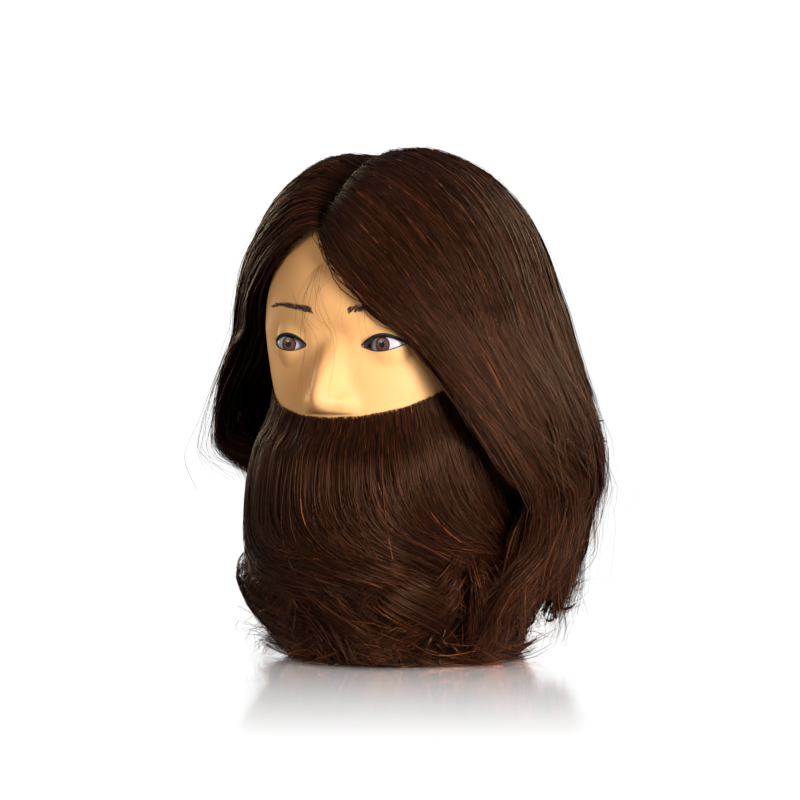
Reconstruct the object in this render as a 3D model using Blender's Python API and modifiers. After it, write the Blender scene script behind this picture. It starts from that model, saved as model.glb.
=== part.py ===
"""Mannequin training head with long scalp hair and a full beard.

The head faces -Y, its own left is +X and it stands on its neck at Z = 0.
A vinyl skin holds a foam core, two four-piece eyes and a clamp socket, and a
base plate closes the neck. Hair and beard are closed soft solids, one for each
section that a hairdresser works with.
"""
import math

import bmesh
import bpy
import numpy as np

# ---------------------------------------------------------------- head sizes
SKULL_CENTRE_Z = 0.190
SKULL_HALF_WIDTH = 0.075
SKULL_HALF_DEPTH = 0.0925
SKULL_RISE = 0.093
SKULL_SQUARENESS = 2.15
SKIN_WALL = 0.0025
FIT_GAP = 0.0004
HAIR_CLEARANCE = 0.0013
BROW_CLEARANCE = 0.0030

# Height, half width, depth in front of and behind the axis, squareness.
HEAD_SECTIONS = np.array([
    (0.000, 0.0560, 0.0480, 0.0640, 2.0),
    (0.030, 0.0520, 0.0460, 0.0610, 2.0),
    (0.056, 0.0510, 0.0470, 0.0600, 2.0),
    (0.064, 0.0505, 0.0530, 0.0600, 2.0),
    (0.070, 0.0500, 0.0690, 0.0600, 1.9),
    (0.075, 0.0500, 0.0810, 0.0600, 1.9),
    (0.082, 0.0510, 0.0890, 0.0600, 1.9),
    (0.092, 0.0540, 0.0920, 0.0605, 1.9),
    (0.108, 0.0580, 0.0915, 0.0620, 1.95),
    (0.125, 0.0625, 0.0930, 0.0660, 2.0),
    (0.145, 0.0665, 0.0920, 0.0740, 2.05),
    (0.165, 0.0715, 0.0920, 0.0840, 2.1),
    (0.178, 0.0740, 0.0922, 0.0900, 2.12),
    (0.190, 0.0750, 0.0925, 0.0925, 2.15),
])
SKIN_ELEVATIONS_DEG = (75, 60, 46, 34, 24, 16, 9, 4)
SKIN_HEIGHTS = (
    0.190, 0.186, 0.182, 0.177, 0.171, 0.165, 0.159, 0.154, 0.150, 0.147, 0.1435, 0.139,
    0.133, 0.127, 0.121, 0.114, 0.106, 0.097, 0.088, 0.081, 0.075, 0.070, 0.064, 0.054, 0.026, 0.0,
)
SKIN_HALF_AZIMUTHS_DEG = (
    0, 3.3, 6.6, 10, 13.5, 17, 21, 26, 32, 39, 47, 56, 66, 76, 84, 91, 98, 106, 116, 130, 146, 163,
)

# ---------------------------------------------------------------- face sizes
EYE_HALF_SPACING = 0.030
EYE_HEIGHT = 0.182
EYE_CENTRE_Y = -0.0730
GLOBE_RADIUS = 0.0125
GLOBE_ROOM = 0.0007
LID_RADIUS = 0.0142
EYE_SOCKET_DEPTH = 0.0085
LID_OPENING_HALF_WIDTH = 0.0118
LID_OPENING_TOP = 0.0048
LID_OPENING_BOTTOM = 0.0040
NOSE_TOP_Z = 0.190
NOSE_TIP_Z = 0.1525
NOSE_BASE_Z = 0.1435
NOSE_HEIGHT = 0.0190
NOSE_BRIDGE_HALF_WIDTH = 0.0090
NOSE_WING_HALF_WIDTH = 0.0185
EAR_HEIGHT = 0.178
EAR_AZIMUTH_DEG = 94
EAR_DEPTH = 0.011
EAR_ROOM = 0.0145
# Each feature of the face: height, its spread sideways and upwards, and how far it stands out.
BRIDGE = (0.186, 0.014, 0.011, 0.0050)
CHEEK_SIDE = 0.040
CHEEK = (0.156, 0.018, 0.014, 0.0030)
UPPER_LIP = (0.127, 0.022, 0.0055, 0.0050)
LOWER_LIP = (0.117, 0.022, 0.0055, 0.0050)
CHIN = (0.088, 0.016, 0.011, 0.0030)
EYE_SOCKET = (EYE_HEIGHT, 0.017, 0.0125, EYE_SOCKET_DEPTH)
# Across from the nose side outwards, and up from the eye's centre.
BROW_CURVE = ((-0.017, 0.0190), (-0.008, 0.0215), (0.001, 0.0225), (0.010, 0.0205), (0.018, 0.0155))
BROW_HALF_HEIGHTS = (0.0022, 0.0026, 0.0024, 0.0018, 0.0008)
BROW_LIFT = 0.0009
BROW_THICKNESS = 0.0012
LASH_LIFT = 0.0012
LASH_THICKNESS = 0.0007
LASH_HEIGHT = 0.0016

# ---------------------------------------------------------------- eye pieces
POCKET_RADIUS = 0.0060
POCKET_FLOOR = 0.0084
IRIS_RADIUS = 0.0056
PUPIL_RADIUS = 0.0022
IRIS_BACK = 0.0088
IRIS_FRONT = 0.0094
CORNEA_BACK = 0.0098
LATHE_STEPS = 20

# ------------------------------------------------------------- neck hardware
PLATE_RADIUS_RATIO = 0.93
PLATE_THICKNESS = 0.004
PLATE_BORE_RADIUS = 0.0186
SOCKET_HEIGHT = 0.078
SOCKET_MOUTH_RADIUS = 0.0135
SOCKET_END_RADIUS = 0.0110
SOCKET_WALL = 0.0035
SOCKET_FLANGE_RADIUS = 0.027
SOCKET_FLANGE_THICKNESS = 0.003
CORE_INSET = 0.0050
CORE_FACE_INSET = 0.0165
CORE_FACE_WIDTH_DEG = 70.0
CORE_FACE_TOP = 0.236
CORE_FACE_BOTTOM = 0.046
CORE_FACE_TOP_FADE = 0.030
CORE_FACE_BOTTOM_FADE = 0.012
CORE_AZIMUTH_COUNT = 22
CORE_ELEVATIONS_DEG = (62, 40, 22, 8)
CORE_HEIGHTS = (
    0.190, 0.175, 0.158, 0.140, 0.122, 0.104, 0.090, 0.080, 0.072, 0.064, 0.056, 0.030, 0.0075,
)

# ---------------------------------------------------------------- hair sizes
# Elevation in degrees seen from the skull centre, distance to the outside of the hair.
HAIR_DOME = np.array([
    (0, 0.1005), (11, 0.0969), (19, 0.0963), (31, 0.0978),
    (41, 0.1007), (60, 0.1055), (74, 0.1062), (90, 0.1055),
])
# Height, sideways stretch and lengthways stretch of the hair's round plan.
HAIR_PLAN = np.array([
    (0.105, 1.000, 1.000), (0.150, 0.990, 1.040), (0.190, 0.975, 1.085), (0.221, 0.960, 1.130),
])
ROOT_HALF_WIDTH = 0.085
ROOT_HALF_DEPTH = 0.104
PARTING_X = -0.014
PARTING_FRONT_Y = -0.084
PARTING_BACK_Y = 0.036
PARTING_HALF_GAP = 0.0009
PARTING_SHARE = 0.62
ROOT_THICKNESS_SHARE = 0.35
EDGE_THICKNESS_SHARE = 0.60
EDGE_SHARE = 0.10
HAIR_BOTTOM_BACK = 0.003
HAIR_BOTTOM_FRONT = 0.075
SECTION_GAP = 0.010
DRAPE_OFFSETS = (-0.006, -0.003, 0.0, 0.003, 0.006, 0.009)
HAIR_SECTION_NAMES = ("fringe", "side", "crown", "back")
HAIR_SECTION_CUTS = (0.0, 0.24, 0.48, 0.74, 1.0)
HAIR_ROWS_ON_SKULL = 9
HAIR_ROWS_HANGING = 9
HAIR_COLUMNS = 7
# Where the front edge of each side's hair hangs, bends over the skull and swings back to.
LEFT_HANG_DEG, RIGHT_HANG_DEG = 29, 64
LEFT_DRAPE_DEG, RIGHT_DRAPE_DEG = 9, 40
LEFT_SWING_DEG, RIGHT_SWING_DEG = 44, 14
# Share of the way round, elevation in degrees that the hair bends over; the front edges differ.
DRAPE_SHARES = (0.0, 0.15, 0.35, 1.0)
LEFT_DRAPE_ELEVATIONS = (8.0, 24.0, 42.0, 48.0)
RIGHT_DRAPE_ELEVATIONS = (22.0, 24.0, 42.0, 48.0)
CROWN_SETBACK = 0.012
SWING_FALL = 0.050
THINNEST_HAIR = 0.0035
# Height, outer radius of the hanging hair, inner radius of the hanging hair.
HANGING_HAIR = np.array([
    (0.000, 0.098, 0.080),
    (0.030, 0.106, 0.084),
    (0.060, 0.112, 0.088),
    (0.080, 0.1145, 0.090),
    (0.105, 0.115, 0.090),
    (0.122, 0.115, 0.089),
    (0.134, 0.1135, 0.088),
    (0.150, 0.111, 0.086),
    (0.170, 0.106, 0.080),
    (0.190, 0.1005, 0.070),
])

# --------------------------------------------------------------- beard sizes
BEARD_SIDE_AZIMUTH_DEG = 84
# Azimuth in degrees, height of the beard's upper edge.
BEARD_LINE = np.array([(0, 0.1405), (30, 0.1410), (45, 0.1450), (60, 0.1510), (75, 0.1610), (84, 0.1660)])
# Height, outer radius in front, inner radius below the chin.
BEARD_PROFILE = np.array([
    (0.000, 0.090, 0.074),
    (0.020, 0.101, 0.082),
    (0.040, 0.109, 0.085),
    (0.060, 0.1155, 0.084),
    (0.080, 0.1168, 0.082),
    (0.100, 0.1135, 0.070),
    (0.115, 0.1105, 0.060),
    (0.128, 0.1060, 0.060),
    (0.1405, 0.0990, 0.060),
    (0.170, 0.0990, 0.060),
])
BEARD_BOTTOM = 0.006
BEARD_NARROWING = 0.13
BEARD_CHEEK_END_DEG = 54
BEARD_SECTION_GAP_DEG = 0.25
THINNEST_BEARD = 0.003
BEARD_ROOT_DROP = 0.012
# Azimuths in degrees where the long hair starts to cover the beard, and over how many degrees it does.
LEFT_COVER_DEG, LEFT_COVER_WIDTH_DEG = 24, 20
RIGHT_COVER_DEG, RIGHT_COVER_WIDTH_DEG = 56, 16
MOUSTACHE_BOTTOM = 0.122
MOUSTACHE_HALF_AZIMUTH_DEG = 24
UNDER_HAIR_GAP = 0.0015
SIDEBURN_ROOM = 0.0048
THROAT_TOP = 0.056
THROAT_BOTTOM = 0.004
THROAT_HALF_AZIMUTH_DEG = 78
NAPE_TOP = 0.118
NAPE_BOTTOM = 0.004
NAPE_START_AZIMUTH_DEG = 92

# -------------------------------------------------------------------- colours
SKIN_COLOUR = (0.74, 0.42, 0.20)
FOAM_COLOUR = (0.80, 0.72, 0.50)
PLASTIC_COLOUR = (0.03, 0.03, 0.035)
EYE_WHITE_COLOUR = (0.62, 0.60, 0.62)
IRIS_COLOUR = (0.12, 0.05, 0.03)
PUPIL_COLOUR = (0.003, 0.003, 0.003)
CORNEA_COLOUR = (0.85, 0.87, 0.90)
LASH_COLOUR = (0.012, 0.009, 0.008)
BROW_COLOUR = (0.045, 0.022, 0.012)
HAIR_COLOUR = (0.040, 0.016, 0.008)
BEARD_COLOUR = (0.034, 0.014, 0.008)


def start_clean():
    """Remove whatever the scene holds and make the part's two collections."""
    for existing in list(bpy.data.objects):
        bpy.data.objects.remove(existing, do_unlink=True)
    collections = {}
    for name in ("training_head", "cutters"):
        collections[name] = bpy.data.collections.new(name)
        bpy.context.scene.collection.children.link(collections[name])
    return collections


COLLECTIONS = start_clean()


def make_material(name, colour, roughness, metallic=0.0):
    material = bpy.data.materials.new(name)
    material.use_nodes = True
    shader = material.node_tree.nodes["Principled BSDF"]
    shader.inputs["Base Color"].default_value = (*colour, 1.0)
    shader.inputs["Roughness"].default_value = roughness
    shader.inputs["Metallic"].default_value = metallic
    return material


def add_object(name, vertices, faces, material, collection="training_head"):
    """Make one mesh object, with its faces turned outwards."""
    mesh = bpy.data.meshes.new(name)
    mesh.from_pydata([tuple(map(float, v)) for v in vertices], [], faces)
    shape = bmesh.new()
    shape.from_mesh(mesh)
    bmesh.ops.recalc_face_normals(shape, faces=shape.faces)
    shape.to_mesh(mesh)
    shape.free()
    if material is not None:
        mesh.materials.append(material)
    made = bpy.data.objects.new(name, mesh)
    COLLECTIONS[collection].objects.link(made)
    return made


def make_cutter(made):
    """Keep an object out of renders; it only cuts other pieces."""
    made.hide_render = True
    made.display_type = "WIRE"
    return made


def cut(target, cutter):
    modifier = target.modifiers.new("cut_" + cutter.name, "BOOLEAN")
    modifier.operation = "DIFFERENCE"
    modifier.solver = "EXACT"
    modifier.object = cutter


def smooth_step(value):
    value = np.clip(value, 0.0, 1.0)
    return value * value * (3.0 - 2.0 * value)


# ---------------------------------------------------------------- head shape
def section_radius(azimuth, height):
    """Distance from the axis to the plain head form, at or below the skull centre."""
    half_width, front, back, squareness = (
        np.interp(height, HEAD_SECTIONS[:, 0], HEAD_SECTIONS[:, column]) for column in (1, 2, 3, 4)
    )
    depth = np.where(np.cos(azimuth) > 0, front, back)
    across = np.abs(np.sin(azimuth) / half_width) ** squareness
    along = np.abs(np.cos(azimuth) / depth) ** squareness
    return (across + along) ** (-1.0 / squareness)


def skull_distance(direction, growth=0.0):
    """Distance from the skull centre to the skull's surface, grown outwards."""
    sizes = np.array([SKULL_HALF_WIDTH, SKULL_HALF_DEPTH, SKULL_RISE]) + growth
    return np.sum(np.abs(direction / sizes) ** SKULL_SQUARENESS, axis=-1) ** (-1.0 / SKULL_SQUARENESS)


def around_axis(azimuth, radius, height):
    """Azimuth 0 looks forwards, along -Y, and grows towards the head's left, +X."""
    return np.stack([radius * np.sin(azimuth), -radius * np.cos(azimuth), height + 0.0 * radius], axis=-1)


def bump(offset, width):
    return np.exp(-((offset / width) ** 2))


def feature(across, z, sizes):
    """Soft rounded rise. sizes: height, spread sideways, spread upwards, how far it stands out."""
    height, width, tall, rise = sizes
    return rise * bump(across, width) * bump(z - height, tall)


def nose_rise(x, z):
    """How far the nose stands out of the plain face."""
    along = np.clip((NOSE_TOP_Z - z) / (NOSE_TOP_Z - NOSE_TIP_Z), 0.0, 1.0)
    height = NOSE_HEIGHT * along ** 1.15
    under = smooth_step((z - NOSE_BASE_Z) / (NOSE_TIP_Z - NOSE_BASE_Z))
    half_width = NOSE_BRIDGE_HALF_WIDTH + (NOSE_WING_HALF_WIDTH - NOSE_BRIDGE_HALF_WIDTH) * along ** 2
    across = np.clip(1.0 - (x / half_width) ** 2, 0.0, 1.0) ** 1.3
    return height * np.where(z < NOSE_TIP_Z, under, 1.0) * across


def face_rise(x, z):
    """Every feature of the face, as a distance forwards from the plain form."""
    side = np.abs(x)
    cheek = feature(side - CHEEK_SIDE, z, CHEEK)
    lips = feature(x, z, UPPER_LIP) + feature(x, z, LOWER_LIP)
    hollows = feature(side - EYE_HALF_SPACING, z, EYE_SOCKET) + feature(x, z, BRIDGE)
    return nose_rise(x, z) + cheek + lips + feature(x, z, CHIN) - hollows


def eyelid_front(x, z):
    """Front of the lids, which follow the eye globes; far behind elsewhere."""
    reach = LID_RADIUS ** 2 - (np.abs(x) - EYE_HALF_SPACING) ** 2 - (z - EYE_HEIGHT) ** 2
    return np.where(reach > 0, EYE_CENTRE_Y - np.sqrt(np.clip(reach, 0, None)), 0.0)


def ear_rise(points, depth):
    """How far the moulded ears stand out sideways."""
    azimuth = np.degrees(np.arctan2(np.abs(points[..., 0]), -points[..., 1]))
    height = points[..., 2] - EAR_HEIGHT
    return depth * bump(azimuth - EAR_AZIMUTH_DEG, 11.0) * bump(height, 0.024)


def with_features(points, ear_depth=EAR_DEPTH):
    """Add the face and the ears to points of the plain head form."""
    points = points.copy()
    x, y, z = points[..., 0], points[..., 1], points[..., 2]
    facing = smooth_step((-y - 0.010) / 0.030)
    front = y - facing * face_rise(x, z)
    lids = np.where((eyelid_front(x, z) < front) & (y < -0.040), eyelid_front(x, z), front)
    points[..., 1] = lids
    points[..., 0] = x + np.sign(x) * ear_rise(points, ear_depth)
    return points


def skin_azimuths():
    half = np.radians(SKIN_HALF_AZIMUTHS_DEG)
    return np.concatenate([half, [math.pi], 2 * math.pi - half[:0:-1]])


def skin_rings():
    """Rings of the skin's outer surface, from near the top down to the neck."""
    azimuths = skin_azimuths()
    rings = []
    for elevation in np.radians(SKIN_ELEVATIONS_DEG):
        direction = around_axis(azimuths, np.cos(elevation) + 0 * azimuths, math.sin(elevation))
        points = direction * skull_distance(direction)[:, None]
        points[:, 2] += SKULL_CENTRE_Z
        rings.append(with_features(points))
    for height in SKIN_HEIGHTS:
        points = around_axis(azimuths, section_radius(azimuths, height), height)
        rings.append(with_features(points))
    return np.array(rings)


def ring_faces(row_count, column_count):
    faces = []
    for row in range(row_count - 1):
        for column in range(column_count):
            after = (column + 1) % column_count
            low, high = row * column_count, (row + 1) * column_count
            faces.append((low + column, low + after, high + after, high + column))
    return faces


def fan_faces(first, column_count, pole):
    return [(first + i, first + (i + 1) % column_count, pole) for i in range(column_count)]


def build_head_skin():
    rings = skin_rings()
    row_count, column_count = rings.shape[:2]
    top = (0.0, 0.0, SKULL_CENTRE_Z + SKULL_RISE)
    vertices = np.vstack([rings.reshape(-1, 3), top])
    faces = ring_faces(row_count, column_count) + fan_faces(0, column_count, row_count * column_count)
    skin = add_object("head_skin", vertices, faces, make_material("skin_vinyl", SKIN_COLOUR, 0.42))
    wall = skin.modifiers.new("wall", "SOLIDIFY")
    wall.thickness = SKIN_WALL
    wall.offset = -1.0
    for side, name in ((1, "left"), (-1, "right")):
        cut(skin, build_globe_cutter(name + "_lid_clearance", side, GLOBE_RADIUS + GLOBE_ROOM))
        cut(skin, build_lid_opening(name + "_lid_opening", side))
    return skin


def build_globe_cutter(name, side, radius):
    centre = (side * EYE_HALF_SPACING, EYE_CENTRE_Y, EYE_HEIGHT)
    profile = arc(radius, -math.pi / 2, math.pi / 2, 11)
    return make_cutter(lathe_forwards(name, profile, None, centre, "cutters"))


def build_lid_opening(name, side):
    """Almond-shaped prism that opens the eyelids."""
    across = np.linspace(-1.0, 1.0, 9)
    bow = 1.0 - across ** 2
    upper = [(x, LID_OPENING_TOP * b) for x, b in zip(across, bow)]
    lower = [(x, -LID_OPENING_BOTTOM * b) for x, b in zip(across[-2:0:-1], bow[-2:0:-1])]
    outline = upper + lower
    vertices = []
    for y in (EYE_CENTRE_Y - 0.030, EYE_CENTRE_Y + 0.002):
        for x, rise in outline:
            vertices.append((side * EYE_HALF_SPACING + x * LID_OPENING_HALF_WIDTH, y, EYE_HEIGHT + rise))
    count = len(outline)
    faces = [tuple(range(count)), tuple(range(2 * count - 1, count - 1, -1))]
    for i in range(count):
        after = (i + 1) % count
        faces.append((i, after, count + after, count + i))
    return make_cutter(add_object(name, vertices, faces, None, "cutters"))


# ------------------------------------------------------------ turned pieces
def lathe_points(profile, steps):
    """Turn (radius, along) pairs about an axis; a radius of 0 is a pole."""
    vertices, rows = [], []
    angles = np.linspace(0, 2 * math.pi, steps, endpoint=False)
    for radius, along in profile:
        if radius < 1e-6:
            rows.append([len(vertices)])
            vertices.append((0.0, 0.0, along))
            continue
        rows.append(list(range(len(vertices), len(vertices) + steps)))
        vertices += [(radius * math.cos(a), radius * math.sin(a), along) for a in angles]
    return vertices, rows


def lathe_faces(rows, steps, closed):
    faces = []
    pairs = list(zip(rows, rows[1:]))
    if closed:
        pairs.append((rows[-1], rows[0]))
    for low, high in pairs:
        for i in range(steps):
            after = (i + 1) % steps
            if len(low) == 1:
                faces.append((low[0], high[after], high[i]))
            elif len(high) == 1:
                faces.append((low[i], low[after], high[0]))
            else:
                faces.append((low[i], low[after], high[after], high[i]))
    return faces


def lathe_up(name, profile, material, closed=False, collection="training_head", squash=None):
    """Turned piece on the vertical axis. squash maps its points to another section."""
    vertices, rows = lathe_points(profile, LATHE_STEPS)
    if squash is not None:
        vertices = squash(vertices)
    return add_object(name, vertices, lathe_faces(rows, LATHE_STEPS, closed), material, collection)


def lathe_forwards(name, profile, material, centre, collection="training_head", closed=False):
    """Turned piece whose axis looks forwards, along -Y."""
    vertices, rows = lathe_points(profile, LATHE_STEPS)
    placed = [(centre[0] + x, centre[1] - along, centre[2] + z) for x, z, along in vertices]
    return add_object(name, placed, lathe_faces(rows, LATHE_STEPS, closed), material, collection)


def arc(radius, start, end, count):
    return [(radius * math.cos(a), radius * math.sin(a)) for a in np.linspace(start, end, count)]


def build_eye(side, name, materials):
    """Eyeball with a pocket for the iris ring, the pupil disc and the clear front."""
    centre = (side * EYE_HALF_SPACING, EYE_CENTRE_Y, EYE_HEIGHT)
    rim = math.acos(POCKET_RADIUS / GLOBE_RADIUS)
    globe = arc(GLOBE_RADIUS, -math.pi / 2, rim, 10) + [(POCKET_RADIUS, POCKET_FLOOR), (0.0, POCKET_FLOOR)]
    globe[0] = (0.0, -GLOBE_RADIUS)
    lathe_forwards(name + "_eye_globe", globe, materials["globe"], centre)
    iris = [(PUPIL_RADIUS + FIT_GAP, IRIS_BACK), (IRIS_RADIUS, IRIS_BACK),
            (IRIS_RADIUS, IRIS_FRONT), (PUPIL_RADIUS + FIT_GAP, IRIS_FRONT)]
    lathe_forwards(name + "_iris", iris, materials["iris"], centre, closed=True)
    pupil = [(0.0, IRIS_BACK), (PUPIL_RADIUS, IRIS_BACK), (PUPIL_RADIUS, IRIS_FRONT), (0.0, IRIS_FRONT)]
    lathe_forwards(name + "_pupil", pupil, materials["pupil"], centre)
    dome = arc(GLOBE_RADIUS, math.acos(IRIS_RADIUS / GLOBE_RADIUS), math.pi / 2, 4)
    dome[-1] = (0.0, GLOBE_RADIUS)
    cornea = [(0.0, CORNEA_BACK), (IRIS_RADIUS, CORNEA_BACK)] + dome
    lathe_forwards(name + "_cornea", cornea, materials["cornea"], centre)


# -------------------------------------------------------------- thick patches
def thick_patch(name, outer, inner, material):
    """Closed solid between two matching grids of points."""
    rows, columns = outer.shape[:2]
    vertices = np.vstack([outer.reshape(-1, 3), inner.reshape(-1, 3)])
    shift = rows * columns
    faces = []
    for r in range(rows - 1):
        for c in range(columns - 1):
            a, b = r * columns + c, (r + 1) * columns + c
            faces.append((a, a + 1, b + 1, b))
            faces.append((shift + a, shift + b, shift + b + 1, shift + a + 1))
    for c in range(columns - 1):
        last = (rows - 1) * columns + c
        faces.append((c + 1, c, shift + c, shift + c + 1))
        faces.append((last, last + 1, shift + last + 1, shift + last))
    for r in range(rows - 1):
        a, b = r * columns, (r + 1) * columns
        end_a, end_b = a + columns - 1, b + columns - 1
        faces.append((a, b, shift + b, shift + a))
        faces.append((end_b, end_a, shift + end_a, shift + end_b))
    return add_object(name, vertices, faces, material)


def face_surface(x, z, lift):
    """Place on the front of the skin, lifted forwards off it."""
    low = np.minimum(z, SKULL_CENTRE_Z)
    half_width, front, squareness = (
        np.interp(low, HEAD_SECTIONS[:, 0], HEAD_SECTIONS[:, column]) for column in (1, 2, 4)
    )
    height = np.maximum(z - SKULL_CENTRE_Z, 0.0)
    share = np.abs(x / half_width) ** squareness + (height / SKULL_RISE) ** squareness
    plain = -front * np.clip(1.0 - share, 0.0, 1.0) ** (1.0 / squareness)
    points = with_features(np.stack([x, plain, z], axis=-1))
    points[..., 1] -= lift
    return points


def build_eyebrow(side, name, material):
    places = np.array(BROW_CURVE)
    half = np.array(BROW_HALF_HEIGHTS)
    x = side * (EYE_HALF_SPACING + places[:, 0])
    z = EYE_HEIGHT + places[:, 1]
    x_grid = np.stack([x, x, x])
    z_grid = np.stack([z + half, z, z - half])
    inner = face_surface(x_grid, z_grid, BROW_LIFT)
    outer = face_surface(x_grid, z_grid, BROW_LIFT + BROW_THICKNESS)
    thick_patch(name + "_eyebrow", outer, inner, material)


def build_upper_lashes(side, name, material):
    """Band of lashes along the upper lid's edge."""
    across = np.linspace(-0.92, 0.92, 9)
    lower = LID_OPENING_TOP * (1.0 - across ** 2) + 0.0002
    rise = np.stack([lower + LASH_HEIGHT, lower])
    sideways = side * (EYE_HALF_SPACING + np.stack([across, across]) * LID_OPENING_HALF_WIDTH)
    inner = face_surface(sideways, EYE_HEIGHT + rise, LASH_LIFT)
    outer = face_surface(sideways, EYE_HEIGHT + rise, LASH_LIFT + LASH_THICKNESS)
    thick_patch(name + "_upper_lashes", outer, inner, material)


# ------------------------------------------------------------------ scalp hair
def unit(vectors):
    return vectors / np.linalg.norm(vectors, axis=-1, keepdims=True)


def from_angles(azimuth, elevation):
    flat = around_axis(azimuth, np.cos(elevation), 0.0)
    flat[..., 2] = np.sin(elevation)
    return flat


def plan_stretch(azimuth, height):
    """How much longer than wide the hair's plan is, as a factor on its radius."""
    sideways = np.interp(height, HAIR_PLAN[:, 0], HAIR_PLAN[:, 1])
    lengthways = np.interp(height, HAIR_PLAN[:, 0], HAIR_PLAN[:, 2])
    return 1.0 / np.hypot(np.sin(azimuth) / sideways, np.cos(azimuth) / lengthways)


def hair_distance(direction):
    """Distance from the skull centre to the outside of the hair, above that centre."""
    elevation = np.arcsin(np.clip(direction[..., 2], -1.0, 1.0))
    azimuth = np.arctan2(direction[..., 0], -direction[..., 1])
    plain = np.interp(np.degrees(elevation), HAIR_DOME[:, 0], HAIR_DOME[:, 1])
    stretch = plan_stretch(azimuth, SKULL_CENTRE_Z + plain * direction[..., 2])
    return plain * (1.0 + np.cos(elevation) ** 2 * (stretch - 1.0))


def hanging_radius(azimuth, height, column):
    """Outer (column 1) or inner (column 2) radius of the hanging hair."""
    return np.interp(height, HANGING_HAIR[:, 0], HANGING_HAIR[:, column]) * plan_stretch(azimuth, height)


def root_direction(side, u):
    """Where a lock leaves the head: along the parting, then round the crown."""
    along = np.clip(u / PARTING_SHARE, 0.0, 1.0)
    round_crown = np.clip((u - PARTING_SHARE) / (1.0 - PARTING_SHARE), 0.0, 1.0)
    y = PARTING_FRONT_Y + (PARTING_BACK_Y - PARTING_FRONT_Y) * along + CROWN_SETBACK * round_crown
    x = PARTING_X + side * PARTING_HALF_GAP + (-PARTING_X) * round_crown
    rise = np.sqrt(1.0 - (x / ROOT_HALF_WIDTH) ** 2 - (y / ROOT_HALF_DEPTH) ** 2)
    return unit(np.stack([x, y, SKULL_RISE * rise], axis=-1))


def hang_azimuth(side, u):
    """Azimuth where a lock passes the level of the skull centre."""
    start = math.radians(LEFT_HANG_DEG if side > 0 else RIGHT_HANG_DEG)
    return start + (math.pi - start) * u


def drape_direction(side, u):
    """Direction that a lock bends over on its way down."""
    start = math.radians(LEFT_DRAPE_DEG if side > 0 else RIGHT_DRAPE_DEG)
    elevations = LEFT_DRAPE_ELEVATIONS if side > 0 else RIGHT_DRAPE_ELEVATIONS
    elevation = np.radians(np.interp(u, DRAPE_SHARES, elevations))
    azimuth = start + (math.pi - start) * u ** 0.85
    return from_angles(side * azimuth, elevation)


def hanging_azimuth_drift(side, u, height):
    """Locks near the face swing back as they fall."""
    most = math.radians(LEFT_SWING_DEG if side > 0 else RIGHT_SWING_DEG)
    fall = 1.0 - np.exp(-(SKULL_CENTRE_Z - height) / SWING_FALL)
    return most * fall * np.clip(1.0 - u / 0.8, 0.0, 1.0) ** 1.3


def hair_bottom(u):
    return HAIR_BOTTOM_FRONT + (HAIR_BOTTOM_BACK - HAIR_BOTTOM_FRONT) * smooth_step(u / 0.75)


def surface_radius(azimuth, height):
    """Skin radius with its features, for clearances."""
    low = np.minimum(height, SKULL_CENTRE_Z)
    points = with_features(around_axis(azimuth, section_radius(azimuth, low), low), EAR_ROOM)
    return np.hypot(points[..., 0], points[..., 1])


def draped_radius(azimuth, height, highest=SKULL_CENTRE_Z):
    """Radius that a hanging layer needs to pass in front of everything just above and below it."""
    nearby = [surface_radius(azimuth, np.clip(height + offset, 0.0, highest)) for offset in DRAPE_OFFSETS]
    return np.max(nearby, axis=0) + HAIR_CLEARANCE


def over_face(forwards):
    """Extra room where the long hair crosses a brow; forwards is 1 straight ahead."""
    return BROW_CLEARANCE * smooth_step((forwards - 0.40) / 0.25)


def over_sideburn(azimuth, height):
    """Extra room where the long hair hangs over the beard's rooted edge."""
    sideways = smooth_step((BEARD_SIDE_AZIMUTH_DEG + 12.0 - np.degrees(np.abs(azimuth))) / 8.0)
    return SIDEBURN_ROOM * sideways * smooth_step((beard_line(azimuth) + 0.016 - height) / 0.008)


def edge_thinning(u):
    return EDGE_THICKNESS_SHARE + (1.0 - EDGE_THICKNESS_SHARE) * smooth_step(u / EDGE_SHARE)


def hair_on_skull(side, u, v, depth):
    """Point on the way from the root, v = 0, to the level of the skull centre, v = 1."""
    hang = hang_azimuth(side, u)
    start, middle = root_direction(side, u), drape_direction(side, u)
    end = from_angles(side * hang, 0.0 * hang)
    v1 = v[..., None]
    direction = unit((1 - v1) ** 2 * start + 2 * v1 * (1 - v1) * middle + v1 ** 2 * end)
    inner = skull_distance(direction, HAIR_CLEARANCE) + over_face(-direction[..., 1])
    bare = direction * inner[..., None]
    bare[..., 2] += SKULL_CENTRE_Z
    featured = with_features(bare, EAR_ROOM)
    featured[..., 2] -= SKULL_CENTRE_Z
    inner = np.linalg.norm(featured, axis=-1)
    thinning = edge_thinning(u) * (ROOT_THICKNESS_SHARE + (1 - ROOT_THICKNESS_SHARE) * smooth_step(v / 0.35))
    outer = np.maximum(inner + THINNEST_HAIR, inner + (hair_distance(direction) - inner) * thinning)
    distance = inner + (outer - inner) * depth
    points = direction * distance[..., None]
    points[..., 2] += SKULL_CENTRE_Z
    return points


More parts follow.
